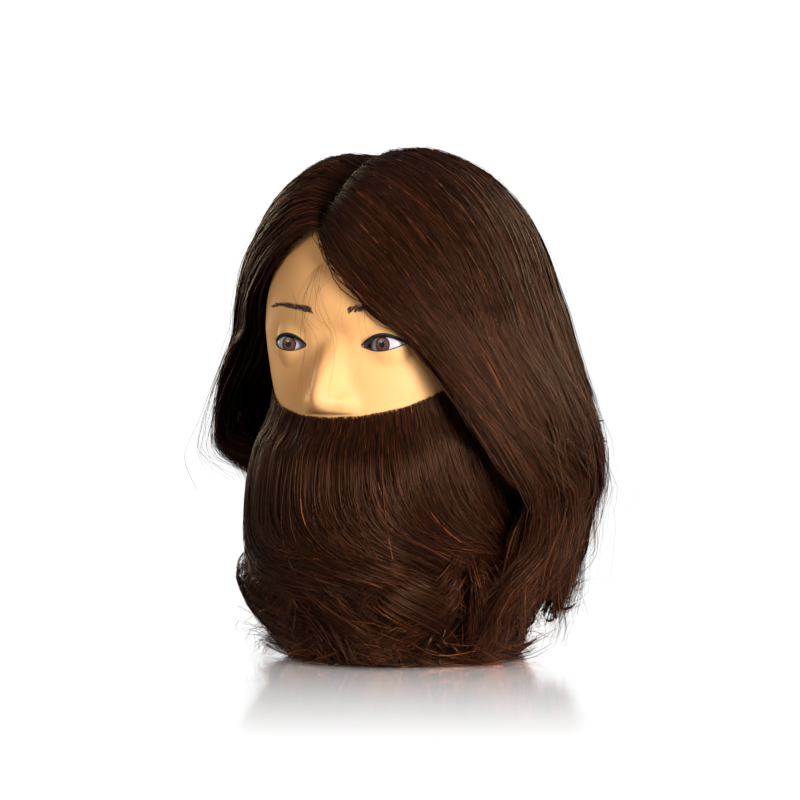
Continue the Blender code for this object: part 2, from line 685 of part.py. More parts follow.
def hair_hanging(side, u, v, depth):
    """Point below the skull centre's level, v = 0, down to the tips, v = 1."""
    height = SKULL_CENTRE_Z + (hair_bottom(u) - SKULL_CENTRE_Z) * v
    azimuth = side * (hang_azimuth(side, u) + hanging_azimuth_drift(side, u, height))
    skin = draped_radius(azimuth, height) + over_face(np.cos(azimuth)) + over_sideburn(azimuth, height)
    free_outer = hanging_radius(azimuth, height, 1)
    inner = np.maximum(skin, hanging_radius(azimuth, height, 2))
    leaving = np.exp(-v / 0.12)
    outer = inner + (free_outer - inner) * (1.0 - leaving * (1.0 - edge_thinning(u)))
    outer = np.maximum(outer, inner + THINNEST_HAIR)
    return around_axis(azimuth, inner + (outer - inner) * depth, height)


def hair_grid(side, u_low, u_high, depth):
    u = np.linspace(u_low, u_high, HAIR_COLUMNS)
    upper = np.linspace(0.0, 1.0, HAIR_ROWS_ON_SKULL)
    lower = np.linspace(0.0, 1.0, HAIR_ROWS_HANGING)[1:]
    on_skull = [hair_on_skull(side, u, np.full_like(u, v), depth) for v in upper]
    hanging = [hair_hanging(side, u, np.full_like(u, v), depth) for v in lower]
    return np.array(on_skull + hanging)


def build_hair(material):
    for side, side_name in ((1, "left"), (-1, "right")):
        for name, low, high in zip(HAIR_SECTION_NAMES, HAIR_SECTION_CUTS, HAIR_SECTION_CUTS[1:]):
            low, high = low + SECTION_GAP / 2, high - SECTION_GAP / 2
            outer = hair_grid(side, low, high, 1.0)
            inner = hair_grid(side, low, high, 0.0)
            thick_patch(f"hair_{side_name}_{name}", outer, inner, material)


def build_nape_hair(material):
    """Under layer that hangs between the neck and the long hair."""
    heights = np.linspace(NAPE_TOP, NAPE_BOTTOM, 8)
    for side, side_name in ((1, "left"), (-1, "right")):
        azimuths = side * np.radians(np.linspace(NAPE_START_AZIMUTH_DEG, 179.6, 8))
        azimuth, height = np.meshgrid(azimuths, heights)
        outer = around_axis(azimuth, hanging_radius(azimuth, height, 2) - UNDER_HAIR_GAP, height)
        inner = around_axis(azimuth, draped_radius(azimuth, height), height)
        thick_patch(f"nape_hair_{side_name}", outer, inner, material)


# ----------------------------------------------------------------------- beard
def beard_line(azimuth):
    return np.interp(np.degrees(np.abs(azimuth)), BEARD_LINE[:, 0], BEARD_LINE[:, 1])


def hair_cover(azimuth):
    """How far the long hair lies over the beard: 0 in front, 1 at the sides."""
    left = smooth_step((azimuth - math.radians(LEFT_COVER_DEG)) / math.radians(LEFT_COVER_WIDTH_DEG))
    right = smooth_step((-azimuth - math.radians(RIGHT_COVER_DEG)) / math.radians(RIGHT_COVER_WIDTH_DEG))
    return np.maximum(left, right)


def beard_narrowing(azimuth):
    """The beard is less deep at the sides than in front."""
    return 1.0 - BEARD_NARROWING * np.sin(azimuth) ** 2


def beard_point(azimuth, height, depth):
    """Point of the beard; depth runs from 0 on its inside to 1 on its outside."""
    skin = draped_radius(azimuth, height, beard_line(azimuth))
    free_outer = np.interp(height, BEARD_PROFILE[:, 0], BEARD_PROFILE[:, 1])
    free_inner = np.interp(height, BEARD_PROFILE[:, 0], BEARD_PROFILE[:, 2])
    narrow = beard_narrowing(azimuth)
    under_hair = hanging_radius(azimuth, height, 2) - UNDER_HAIR_GAP
    cover = hair_cover(azimuth)
    outer = (1 - cover) * free_outer * narrow + cover * np.minimum(under_hair, free_outer * narrow)
    inner = np.maximum(skin, free_inner * narrow)
    below_root = smooth_step((beard_line(azimuth) - height) / BEARD_ROOT_DROP)
    thinning = ROOT_THICKNESS_SHARE + (1 - ROOT_THICKNESS_SHARE) * below_root
    outer = inner + np.maximum(outer - inner, THINNEST_BEARD) * thinning
    return around_axis(azimuth, inner + (outer - inner) * depth, height)


def beard_patch(name, low_deg, high_deg, top, bottom, rows, material):
    azimuths = np.radians(np.linspace(low_deg + BEARD_SECTION_GAP_DEG, high_deg - BEARD_SECTION_GAP_DEG, 7))
    share = np.linspace(0.0, 1.0, rows)[:, None]
    azimuth = np.repeat(azimuths[None, :], rows, axis=0)
    upper = beard_line(azimuth) if top is None else np.full_like(azimuth, top)
    height = upper + (bottom - upper) * share
    thick_patch(name, beard_point(azimuth, height, 1.0), beard_point(azimuth, height, 0.0), material)


def build_beard(material):
    middle = MOUSTACHE_HALF_AZIMUTH_DEG
    beard_patch("moustache", -middle, middle, None, MOUSTACHE_BOTTOM, 5, material)
    beard_patch("beard_chin", -middle, middle, MOUSTACHE_BOTTOM - 0.0006, BEARD_BOTTOM, 10, material)
    for side, side_name in ((1, "left"), (-1, "right")):
        for name, near, far in (
            ("cheek", middle, BEARD_CHEEK_END_DEG),
            ("sideburn", BEARD_CHEEK_END_DEG, BEARD_SIDE_AZIMUTH_DEG),
        ):
            low, high = sorted((side * near, side * far))
            beard_patch(f"beard_{side_name}_{name}", low, high, None, BEARD_BOTTOM, 12, material)


def build_throat_hair(material):
    """Under layer rooted below the chin, between the neck and the beard."""
    heights = np.linspace(THROAT_TOP, THROAT_BOTTOM, 6)
    for side, side_name in ((1, "left"), (-1, "right")):
        azimuths = side * np.radians(np.linspace(0.3, THROAT_HALF_AZIMUTH_DEG, 8))
        azimuth, height = np.meshgrid(azimuths, heights)
        free = np.interp(height, BEARD_PROFILE[:, 0], BEARD_PROFILE[:, 2]) * beard_narrowing(azimuth)
        outer = around_axis(azimuth, free - 2 * UNDER_HAIR_GAP, height)
        inner = around_axis(azimuth, draped_radius(azimuth, height), height)
        thick_patch(f"throat_hair_{side_name}", outer, inner, material)


# -------------------------------------------------------------- neck and core
def plate_outline(points):
    """Map a circle of radius 1 to the plate's edge, just inside the neck's section at its foot."""
    placed = []
    for x, y, z in points:
        length = math.hypot(x, y)
        azimuth = math.atan2(x, -y)
        reach = float(section_radius(np.array(azimuth), np.array(0.0))) * PLATE_RADIUS_RATIO
        placed.append(tuple(around_axis(azimuth, reach * length, z)) if length > 0.5 else (x, y, z))
    return placed


def build_base_plate(material):
    """Flat plate that the head stands on, set inside the neck's skin."""
    profile = [
        (PLATE_BORE_RADIUS, 0.0),
        (1.0, 0.0),
        (1.0, PLATE_THICKNESS),
        (PLATE_BORE_RADIUS, PLATE_THICKNESS),
    ]
    lathe_up("base_plate", profile, material, closed=True, squash=plate_outline)


def build_neck_socket(material):
    """Tapered sleeve for a clamp's post, closed at its upper end."""
    foot = PLATE_THICKNESS + FIT_GAP
    top = foot + SOCKET_HEIGHT
    profile = [
        (SOCKET_MOUTH_RADIUS, foot),
        (SOCKET_FLANGE_RADIUS, foot),
        (SOCKET_FLANGE_RADIUS, foot + SOCKET_FLANGE_THICKNESS),
        (SOCKET_MOUTH_RADIUS + SOCKET_WALL, foot + SOCKET_FLANGE_THICKNESS),
        (SOCKET_END_RADIUS + SOCKET_WALL, top),
        (0.0, top),
        (0.0, top - SOCKET_WALL),
        (SOCKET_END_RADIUS, top - SOCKET_WALL),
    ]
    vertices, rows = lathe_points(profile, LATHE_STEPS)
    faces = lathe_faces(rows[:6], LATHE_STEPS, False) + lathe_faces(rows[6:], LATHE_STEPS, False)
    faces += lathe_faces([rows[7], rows[0]], LATHE_STEPS, False)
    add_object("neck_socket", vertices, faces, material)


def core_inset(azimuth, height):
    """The foam stands back from the hollows of the face and from under the chin."""
    in_face = bump(np.degrees(azimuth), CORE_FACE_WIDTH_DEG)
    in_face = in_face * smooth_step((CORE_FACE_TOP - height) / CORE_FACE_TOP_FADE)
    in_face = in_face * smooth_step((height - CORE_FACE_BOTTOM) / CORE_FACE_BOTTOM_FADE)
    return CORE_INSET + (CORE_FACE_INSET - CORE_INSET) * in_face


def build_foam_core(material):
    """Foam that fills the skin, with seats for the eyes and a hole for the socket."""
    azimuths = np.linspace(-math.pi, math.pi, CORE_AZIMUTH_COUNT, endpoint=False)
    rings = []
    for elevation in np.radians(CORE_ELEVATIONS_DEG):
        direction = from_angles(azimuths, np.full_like(azimuths, elevation))
        reach = skull_distance(direction)
        inset = core_inset(azimuths, SKULL_CENTRE_Z + reach * math.sin(elevation))
        points = direction * (reach - inset)[:, None]
        points[:, 2] += SKULL_CENTRE_Z
        rings.append(points)
    for height in CORE_HEIGHTS:
        reach = section_radius(azimuths, height) - core_inset(azimuths, height)
        rings.append(around_axis(azimuths, reach, height))
    rings = np.array(rings)
    row_count = len(rings)
    top = (0.0, 0.0, SKULL_CENTRE_Z + SKULL_RISE - CORE_INSET)
    bottom = (0.0, 0.0, CORE_HEIGHTS[-1])
    vertices = np.vstack([rings.reshape(-1, 3), top, bottom])
    pole = row_count * CORE_AZIMUTH_COUNT
    faces = ring_faces(row_count, CORE_AZIMUTH_COUNT) + fan_faces(0, CORE_AZIMUTH_COUNT, pole)
    faces += fan_faces(pole - CORE_AZIMUTH_COUNT, CORE_AZIMUTH_COUNT, pole + 1)
    core = add_object("foam_core", vertices, faces, material)
    for side, name in ((1, "left"), (-1, "right")):
        cut(core, build_globe_cutter(name + "_eye_seat", side, GLOBE_RADIUS + GLOBE_ROOM))
    cut(core, build_socket_cutter())


def build_socket_cutter():
    foot = 0.001
    flange_top = PLATE_THICKNESS + SOCKET_FLANGE_THICKNESS + 2 * FIT_GAP
    top = PLATE_THICKNESS + SOCKET_HEIGHT + 2 * FIT_GAP
    profile = [
        (0.0, foot),
        (SOCKET_FLANGE_RADIUS + FIT_GAP, foot),
        (SOCKET_FLANGE_RADIUS + FIT_GAP, flange_top),
        (SOCKET_MOUTH_RADIUS + SOCKET_WALL + FIT_GAP, flange_top),
        (SOCKET_END_RADIUS + SOCKET_WALL + FIT_GAP, top),
        (0.0, top),
    ]
    return make_cutter(lathe_up("socket_room", profile, None, collection="cutters"))


def build_part():
    lash = make_material("lash_hair", LASH_COLOUR, 0.5)
    brow = make_material("brow_hair", BROW_COLOUR, 0.6)
    eye_materials = {
        "globe": make_material("eye_white", EYE_WHITE_COLOUR, 0.25),
        "iris": make_material("iris_brown", IRIS_COLOUR, 0.35),
        "pupil": make_material("pupil_black", PUPIL_COLOUR, 0.2),
        "cornea": make_material("cornea_clear", CORNEA_COLOUR, 0.03),
    }
    build_head_skin()
    build_foam_core(make_material("core_foam", FOAM_COLOUR, 0.9))
    build_neck_socket(make_material("socket_plastic", PLASTIC_COLOUR, 0.45))
    build_base_plate(make_material("plate_plastic", PLASTIC_COLOUR, 0.5))
    for side, name in ((1, "left"), (-1, "right")):
        build_eye(side, name, eye_materials)
        build_eyebrow(side, name, brow)
        build_upper_lashes(side, name, lash)
    scalp = make_material("scalp_hair", HAIR_COLOUR, 0.5)
    build_hair(scalp)
    build_nape_hair(scalp)
    beard = make_material("beard_hair", BEARD_COLOUR, 0.5)
    build_beard(beard)
    build_throat_hair(beard)


build_part()
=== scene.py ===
"""Looks of the mannequin training head: skin, eyes, brows, long hair and beard, in a white studio."""

import math

import bpy
import numpy as np
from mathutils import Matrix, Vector

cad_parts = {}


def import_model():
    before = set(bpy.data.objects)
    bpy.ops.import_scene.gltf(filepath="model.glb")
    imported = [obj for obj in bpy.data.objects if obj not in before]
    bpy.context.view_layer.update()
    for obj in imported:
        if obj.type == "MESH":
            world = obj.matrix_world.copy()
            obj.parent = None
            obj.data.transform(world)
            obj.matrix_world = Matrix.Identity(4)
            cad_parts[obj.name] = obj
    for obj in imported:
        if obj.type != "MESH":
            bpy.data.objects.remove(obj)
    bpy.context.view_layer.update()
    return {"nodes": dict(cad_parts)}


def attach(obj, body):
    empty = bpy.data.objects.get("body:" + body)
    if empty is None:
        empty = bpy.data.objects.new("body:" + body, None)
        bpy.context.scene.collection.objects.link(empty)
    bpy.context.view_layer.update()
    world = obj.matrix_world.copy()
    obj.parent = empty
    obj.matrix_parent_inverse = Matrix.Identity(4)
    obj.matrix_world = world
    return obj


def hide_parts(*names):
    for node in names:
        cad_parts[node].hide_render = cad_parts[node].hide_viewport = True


# ------------------------------------------------------- head form (metres)
SKULL_CENTRE_Z = 0.190
SKULL_SIZES = np.array([0.075, 0.0925, 0.093])
SKULL_SQUARENESS = 2.15
SCALP_GAP = 0.0006

# Height, half width, depth in front of and behind the axis, squareness.
HEAD_SECTIONS = np.array([
    (0.000, 0.0560, 0.0480, 0.0640, 2.0),
    (0.030, 0.0520, 0.0460, 0.0610, 2.0),
    (0.056, 0.0510, 0.0470, 0.0600, 2.0),
    (0.064, 0.0505, 0.0530, 0.0600, 2.0),
    (0.070, 0.0500, 0.0690, 0.0600, 1.9),
    (0.075, 0.0500, 0.0810, 0.0600, 1.9),
    (0.082, 0.0510, 0.0890, 0.0600, 1.9),
    (0.092, 0.0540, 0.0920, 0.0605, 1.9),
    (0.108, 0.0580, 0.0915, 0.0620, 1.95),
    (0.125, 0.0625, 0.0930, 0.0660, 2.0),
    (0.145, 0.0665, 0.0920, 0.0740, 2.05),
    (0.165, 0.0715, 0.0920, 0.0840, 2.1),
    (0.178, 0.0740, 0.0922, 0.0900, 2.12),
    (0.190, 0.0750, 0.0925, 0.0925, 2.15),
])

# ---------------------------------------------------------------------- face
EYE_HALF_SPACING = 0.030
EYE_HEIGHT = 0.182
EYE_CENTRE_Y = -0.0730
GLOBE_RADIUS = 0.0125
LID_RADIUS = 0.0134
IRIS_ANGLE = 21.5
PUPIL_ANGLE = 8.0
LID_HALF_WIDTH = 0.0118
LID_TOP = 0.0044
LID_BOTTOM = 0.0034
LID_TILT = 0.0008
LID_BLEND = 0.0030
LINER_TOP = 0.0022
LINER_BOTTOM = 0.0004
LINER_STRETCH = 1.07
NOSE_TOP_Z = 0.190
NOSE_BASE_Z = 0.1430
NOSE_HEIGHT = 0.026796
NOSE_SLOPE = 1.2
NOSE_TIP_SHARPNESS = 5.0
NOSE_BRIDGE_HALF_WIDTH = 0.0068
NOSE_TIP_HALF_WIDTH = 0.0108
NOSE_FLARE = 1.6
NOSE_ROUNDNESS = 2.3
NOSE_WING_SIDE = 0.0118
CHEEK_SIDE = 0.040
EAR_AZIMUTH_DEG = 94
# Soft features: height, spread sideways and upwards, and how far each stands out or lies in.
NOSE_WING = (0.1500, 0.0044, 0.0048, 0.0038)
EYE_SOCKET = (EYE_HEIGHT, 0.017, 0.0125, 0.0048)
BRIDGE = (0.186, 0.014, 0.011, 0.0050)
CHEEK = (0.156, 0.018, 0.014, 0.0014)
UPPER_LIP = (0.127, 0.022, 0.0055, 0.0050)
LOWER_LIP = (0.117, 0.022, 0.0055, 0.0050)
CHIN = (0.088, 0.016, 0.011, 0.0030)
# The ear's sideways spread is in degrees round the head.
EAR = (0.178, 11.0, 0.024, 0.011)
# The face's features fade out behind this depth, over this distance; the lids end further forward.
FACE_BACK = 0.010
FACE_FADE = 0.030
LIDS_BACK = 0.040
# Across from the nose side outwards, and up from the eye's centre.
BROW_CURVE = ((-0.019, 0.0185), (-0.010, 0.0200), (-0.001, 0.0215), (0.008, 0.0222), (0.016, 0.0210))
BROW_HALF_HEIGHTS = (0.0013, 0.0013, 0.0010, 0.0006, 0.0002)
BROW_HAIRS = 150
BROW_HAIR_WIDTH = 0.00048
LASHES = 90
LASH_WIDTH = 0.00030

# ---------------------------------------------------------------------- hair
# Elevation in degrees seen from the skull centre, distance to the outside of the hair.
HAIR_DOME_POINTS = np.array([
    (0, 0.1005), (11, 0.0969), (19, 0.0963), (31, 0.0978),
    (41, 0.1007), (60, 0.1055), (74, 0.1062), (90, 0.1055),
])
# Height, sideways stretch and lengthways stretch of the hair's round plan.
HAIR_PLAN = np.array([
    (0.105, 1.000, 1.000), (0.150, 0.990, 1.040), (0.190, 0.975, 1.085), (0.221, 0.960, 1.130),
])
# Height, outer radius and inner radius of the hanging hair.
HANGING_HAIR_POINTS = np.array([
    (0.000, 0.098, 0.080),
    (0.030, 0.106, 0.084),
    (0.060, 0.112, 0.088),
    (0.080, 0.1145, 0.090),
    (0.105, 0.115, 0.090),
    (0.122, 0.115, 0.089),
    (0.134, 0.1135, 0.088),
    (0.150, 0.111, 0.086),
    (0.170, 0.106, 0.080),
    (0.190, 0.1005, 0.070),
])
# Elevation in degrees, share by which the left side is flatter and the right side fuller.
HAIR_LEAN = np.array([(0, 0.046), (15, 0.058), (50, 0.056), (70, 0.030), (85, 0.0), (90, 0.0)])
LEAN_FADE = 0.100
# Height and azimuth in degrees of the left hair's front edge; it swings back, then forwards again.
LEFT_EDGE_POINTS = np.array([
    (0.000, 46), (0.028, 51), (0.045, 56), (0.064, 64), (0.082, 68),
    (0.098, 66), (0.125, 53), (0.162, 41), (0.190, 29),
])
# Azimuths in degrees where each side's front edge hangs and bends over the skull, and how far the
# right one swings back within this fall.
LEFT_HANG_DEG, RIGHT_HANG_DEG = 29, 64
LEFT_DRAPE_DEG, RIGHT_DRAPE_DEG = 9, 28
RIGHT_SWING_DEG, RIGHT_SWING_FALL = 14, 0.050
SWING_END = 0.8
# Share of the way round, elevation in degrees that the hair bends over on each side.
DRAPE_SHARES = (0.0, 0.15, 0.35, 1.0)
LEFT_DRAPE_ELEVATIONS = (8.0, 26.0, 42.0, 48.0)
RIGHT_DRAPE_ELEVATIONS = (26.0, 26.0, 42.0, 48.0)
PARTING_X = -0.014
PARTING_FRONT_Y = -0.077
PARTING_BACK_Y = 0.036
PARTING_SHARE = 0.62
CROWN_SETBACK = 0.012
ROOT_HALF_WIDTH = 0.085
ROOT_HALF_DEPTH = 0.104
ROOT_OVERLAP = 0.0012
EDGE_THICKNESS_SHARE = 0.60
EDGE_SHARE = 0.10
THINNEST_HAIR = 0.004
DRAPE_OFFSETS = (0.0, 0.005, 0.010)
LEAVING_SHARE = 0.12
INNER_SHARE = 0.25
# The hair narrows a little towards its tips, and the right side tucks in behind the beard.
LOW_HEIGHT = 0.102
LOW_DROP = 0.020
LOW_NARROWING = 0.045
TUCK_HEIGHT = 0.126
TUCK_DROP = 0.034
TUCK_SHARE = 0.15
TUCK_END = 0.7
# Share of the way round, height of the longest tips on each side.
TIP_SHARES = (0.0, 0.10, 0.22, 0.34, 0.55, 0.80, 1.0)
LEFT_TIPS = (0.008, 0.020, 0.040, 0.052, 0.052, 0.044, 0.040)
RIGHT_TIPS = (0.099, 0.097, 0.094, 0.088, 0.070, 0.046, 0.036)
NAPE_TIP_SHARES = (0.34, 0.55, 0.75, 1.0)
LEFT_NAPE_TIPS = (0.030, 0.024, 0.006, -0.004)
RIGHT_NAPE_TIPS = (0.012, 0.006, -0.004, -0.004)
NAPE_TIP_RANGE = 0.012
FLOOR_CLEARANCE = 0.0010

# ------------------------------------------------------------- hair strands
HAIR_STEPS = 24
BACK_OVERLAP = 1.04
HAIR_SECTIONS = (
    ("fringe", 0.0, 0.24), ("side", 0.24, 0.48), ("crown", 0.48, 0.74), ("back", 0.74, BACK_OVERLAP),
)
STRANDS_A_SECTION = 3400
LOCKS_A_SECTION = 12
UNDER_STRANDS_A_SECTION = 260
NAPE_STRANDS = 3000
LEFT_NAPE_START = 0.34
RIGHT_NAPE_START = 0.12
WISP_STRANDS = 1100
WISPS = 14
WISP_RANGE = (0.04, 0.62)
STRAND_WIDTH = 0.00044
STRAND_ROUNDING = 0.75
STRAND_TWIST = 0.9
# Width of the wide under ribbons, all in the darkest shade, which paint the shade deep in the hair.
PAINTED_SHADE_LOCK_WIDTH = 0.0060
UNDER_SHRINK = 0.955
# By layer: how far strands gather into locks, how much shorter they end, and how far they stray.
GATHERING = {"outer": 0.90, "under": 0.90, "nape": 0.40}
SHORTEST_TIP = {"outer": 0.30, "under": 0.30, "nape": 0.05}
SHORTENING = {"outer": 0.0, "under": 0.24, "nape": 0.0}
MOST_STRAYING = {"outer": 6.0, "under": 1.0, "nape": 1.0}
TIP_SCATTER = 0.085
LOOSENESS = 0.75
GROUPS = 900
GROUP_WAVE = 0.0021
LOCK_FLATNESS = 9.0
TAIL_START = 0.75
# Ranges that each lock's waves and its curled end are drawn from.
LOCK_WAVES = (0.0045, 0.0110)
RIGHT_WAVE_SHARE = 0.4
LOCK_TURNS = (2.2, 4.0)
CURL_TURNS = (0.9, 1.9)
CURL_RADII = (0.012, 0.022)
WISP_LENGTHS = (-1.10, -0.20)
WISP_WAVES = (0.006, 0.013)
WISP_TURNS = (1.4, 2.8)
WISP_RADII = (0.008, 0.015)
# Six plain shades of brown. Every lighter shade also paints glints of highlight along strands, and the
# lightest is reached only by such a painted glint or a lighter tip (partly the hair's own copper, partly a
# painted glow of light through it).
HAIR_SHADES = (
    ("hair_darkest", (0.0100, 0.0028, 0.0016)),
    ("hair_dark", (0.0180, 0.0048, 0.0025)),
    ("hair_brown", (0.0300, 0.0078, 0.0036)),
    ("hair_warm", (0.0520, 0.0135, 0.0054)),
    ("hair_copper", (0.1150, 0.0310, 0.0100)),
    ("hair_light_copper_and_glint", (0.2700, 0.0850, 0.0260)),
)
SHADE_SHARES = (0.40, 0.32, 0.17, 0.11)
# Shares of strands whose painted glint of highlight is 0, 1 or 2 shades lighter.
GLINT_SHARES = (0.50, 0.32, 0.18)
LEFT_LIGHTER, RIGHT_LIGHTER, BEARD_LIGHTER, THROAT_LIGHTER = 0.12, 0.35, 0.10, 0.60
STRAY_STEPS = 16
FACE_STRAYS = 24
LOOSE_STRAYS = 760
FACE_STRAY_WIDTH = 0.00013
FLYAWAY_WIDTH = 0.00020

# --------------------------------------------------------------------- beard
BEARD_LINE = np.array([
    (0, 0.1415), (12, 0.1425), (28, 0.1475), (42, 0.1560), (60, 0.1620), (75, 0.1660), (84, 0.1680),
])
# Height, outer radius of the beard in front.
BEARD_PROFILE_POINTS = np.array([
    (0.000, 0.080),
    (0.020, 0.086),
    (0.040, 0.098),
    (0.050, 0.106),
    (0.060, 0.1110),
    (0.080, 0.1140),
    (0.100, 0.1125),
    (0.115, 0.1095),
    (0.128, 0.1050),
    (0.1405, 0.0960),
    (0.170, 0.0960),
])
BEARD_STEPS = 18
BEARD_NARROWING = 0.275
THINNEST_BEARD = 0.002
# Azimuths in degrees where the long hair starts to cover the beard, and over how many degrees it does.
LEFT_COVER_DEG, LEFT_COVER_WIDTH_DEG = 24, 24
RIGHT_COVER_DEG, RIGHT_COVER_WIDTH_DEG = 62, 16
BEARD_STRAND_WIDTH = 0.00040
LONG_BEARD_SHARE = 0.13
UNDER_STRANDS_A_BEARD = 160
SWEEP_END_HEIGHT = 0.052
BEARD_LOCK_DEG = 4.5
BEARD_WAVE = 0.0075
# By azimuth of the root in degrees: the slope at the root, the slope at the tip, the bend's height.
START_SLOPES = np.array([(-84, 2), (-40, -2), (10, 2), (60, 24), (84, 30)])
END_SLOPES = np.array([(-84, 84), (0, 84), (30, 74), (60, 52), (84, 40)])
BEND_HEIGHTS = np.array([(-84, 0.080), (-50, 0.088), (0, 0.112), (30, 0.126), (84, 0.130)])
BEARD_SECTIONS = (
    ("beard_right_sideburn", -84, -54, 1300),
    ("beard_right_cheek", -54, -24, 2600),
    ("beard_chin", -24, 24, 4200),
    ("beard_left_cheek", 24, 54, 2600),
    ("beard_left_sideburn", 54, 84, 1300),
)
# Height, outer radius of the hair under the beard.
THROAT_PROFILE = np.array([
    (0.000, 0.064), (0.010, 0.071), (0.020, 0.080), (0.031, 0.089),
    (0.047, 0.0955), (0.060, 0.094), (0.080, 0.088), (0.100, 0.080),
])
THROAT_NARROWING = 0.05
THROAT_SECTIONS = (("throat_hair_right", -88, 0, 3300), ("throat_hair_left", 0, 88, 3300))
THROAT_LOCKS = 28
LAID_LENGTH = 0.030
LAID_CURL = 0.0045

# -------------------------------------------------------------------- camera
CAMERA_AZIMUTH_DEG = 28.0
CAMERA_ELEVATION_DEG = 1.5
CAMERA_DISTANCE = 2.3
FRAME_WIDTH = 0.465
AIM_SIDE = -0.0035
AIM_HEIGHT = 0.1488
SENSOR = 36.0

# -------------------------------------------------------------------- studio
WORLD_STRENGTH = 0.22
FLOOR_WHITE = 1.02
REFLECTING_SHARE = 0.76
REFLECTION_FADE_START = 0.10
REFLECTION_FADE_END = 0.44
# Reach of the painted contact shadow on the table.
CONTACT_REACH = 0.025
TABLE_ROUGHNESS = 0.10
SURROUND_RADIUS = 8.0
TABLE_RADIUS = 7.9
# Name, power in watts, azimuth and elevation in degrees and distance, size, colour.
LIGHTS = (
    ("key", 26, (60, 5, 1.3), 0.5, (1.0, 1.0, 1.0)),
    ("fill", 5.5, (-35, 18, 1.6), 0.4, (1.0, 0.84, 0.68)),
    ("rim_left", 9, (-120, 15, 1.3), 0.6, (1.0, 0.78, 0.52)),
    ("rim_right", 7, (160, 25, 1.3), 0.6, (1.0, 0.78, 0.52)),
)
LIGHT_AIM = (0.0, 0.0, 0.17)
LIGHT_BASE_HEIGHT = 0.15


def material(name, colour, roughness, metallic=0.0, **more):
    """Principled material. more gives other sockets by name, with _ for a space."""
    made = bpy.data.materials.new(name)
    made.use_nodes = True
    shader = made.node_tree.nodes["Principled BSDF"]
    shader.inputs["Base Color"].default_value = (*colour, 1.0)
    shader.inputs["Roughness"].default_value = roughness
    shader.inputs["Metallic"].default_value = metallic
    for socket, value in more.items():
        shader.inputs[socket.replace("_", " ")].default_value = value
    return made


def smooth_step(value):
    value = np.clip(value, 0.0, 1.0)
    return value * value * (3.0 - 2.0 * value)


def smooth_table(table, samples=90, passes=9):
    """Same table with its corners rounded off."""
    places = np.linspace(table[0, 0], table[-1, 0], samples)
    columns = [np.interp(places, table[:, 0], column) for column in table.T[1:]]
    for _ in range(passes):
        for column in columns:
            column[1:-1] = (column[:-2] + 2.0 * column[1:-1] + column[2:]) / 4.0
    return np.stack([places, *columns], axis=1)


def bump(offset, width):
    return np.exp(-((offset / width) ** 2))


def feature(across, z, sizes):
    """Soft rounded rise. sizes: height, spread sideways, spread upwards, how far it stands out."""
    height, width, tall, rise = sizes
    return rise * bump(across, width) * bump(z - height, tall)


def unit(vectors):
    return vectors / np.maximum(np.linalg.norm(vectors, axis=-1, keepdims=True), 1e-9)


# ----------------------------------------------------------------- head form
def around_axis(azimuth, radius, height):
    """Azimuth 0 looks forwards, along -Y, and grows towards the head's left, +X."""
    return np.stack([radius * np.sin(azimuth), -radius * np.cos(azimuth), height + 0.0 * radius], axis=-1)


def from_angles(azimuth, elevation):
    flat = around_axis(azimuth, np.cos(elevation), 0.0)
    flat[..., 2] = np.sin(elevation)
    return flat


def section_radius(azimuth, height):
    half_width, front, back, squareness = (
        np.interp(height, HEAD_SECTIONS[:, 0], HEAD_SECTIONS[:, column]) for column in (1, 2, 3, 4)
    )
    depth = np.where(np.cos(azimuth) > 0, front, back)
    across = np.abs(np.sin(azimuth) / half_width) ** squareness
    along = np.abs(np.cos(azimuth) / depth) ** squareness
    return (across + along) ** (-1.0 / squareness)


def skull_distance(direction, growth=0.0):
    sizes = SKULL_SIZES + growth
    return np.sum(np.abs(direction / sizes) ** SKULL_SQUARENESS, axis=-1) ** (-1.0 / SKULL_SQUARENESS)


def nose_rise(x, z):
    """Ridge growing from between the eyes to a rounded tip, with a wing on each side."""
    along = np.clip((NOSE_TOP_Z - z) / (NOSE_TOP_Z - NOSE_BASE_Z), 0.0, 1.0)
    ridge = NOSE_HEIGHT * along ** NOSE_SLOPE * np.sqrt(1.0 - along ** NOSE_TIP_SHARPNESS)
    flare = (NOSE_TIP_HALF_WIDTH - NOSE_BRIDGE_HALF_WIDTH) * along ** NOSE_FLARE
    across = np.exp(-np.abs(x / (NOSE_BRIDGE_HALF_WIDTH + flare)) ** NOSE_ROUNDNESS)
    return ridge * across + feature(np.abs(x) - NOSE_WING_SIDE, z, NOSE_WING)


def face_rise(x, z):
    """Every feature of the face, as a distance forwards from the plain form."""
    side = np.abs(x)
    cheek = feature(side - CHEEK_SIDE, z, CHEEK)
    lips = feature(x, z, UPPER_LIP) + feature(x, z, LOWER_LIP)
    hollows = feature(side - EYE_HALF_SPACING, z, EYE_SOCKET) + feature(x, z, BRIDGE)
    return nose_rise(x, z) + cheek + lips + feature(x, z, CHIN) - hollows


def ear_rise(points):
    azimuth = np.degrees(np.arctan2(np.abs(points[..., 0]), -points[..., 1]))
    return feature(azimuth - EAR_AZIMUTH_DEG, points[..., 2], EAR)


def soft_positive(distance):
    """Near 0 for a negative distance and growing evenly for a positive one, with a soft bend between."""
    return np.log1p(np.exp(distance / LID_BLEND))


def with_features(points):
    """Add the face and the ears to points of the plain head form."""
    points = points.copy()
    x, y, z = points[..., 0], points[..., 1], points[..., 2]
    facing = smooth_step((-y - FACE_BACK) / FACE_FADE)
    front = y - facing * face_rise(x, z)
    reach = LID_RADIUS ** 2 - (np.abs(x) - EYE_HALF_SPACING) ** 2 - (z - EYE_HEIGHT) ** 2
    lids = EYE_CENTRE_Y - np.sqrt(np.clip(reach, 0.0, None))
    bulge = soft_positive(front - lids) - soft_positive(front - EYE_CENTRE_Y)
    points[..., 1] = np.where((y < -LIDS_BACK) & (reach > 0), front - LID_BLEND * bulge, front)
    points[..., 0] = x + np.sign(x) * ear_rise(points)
    return points


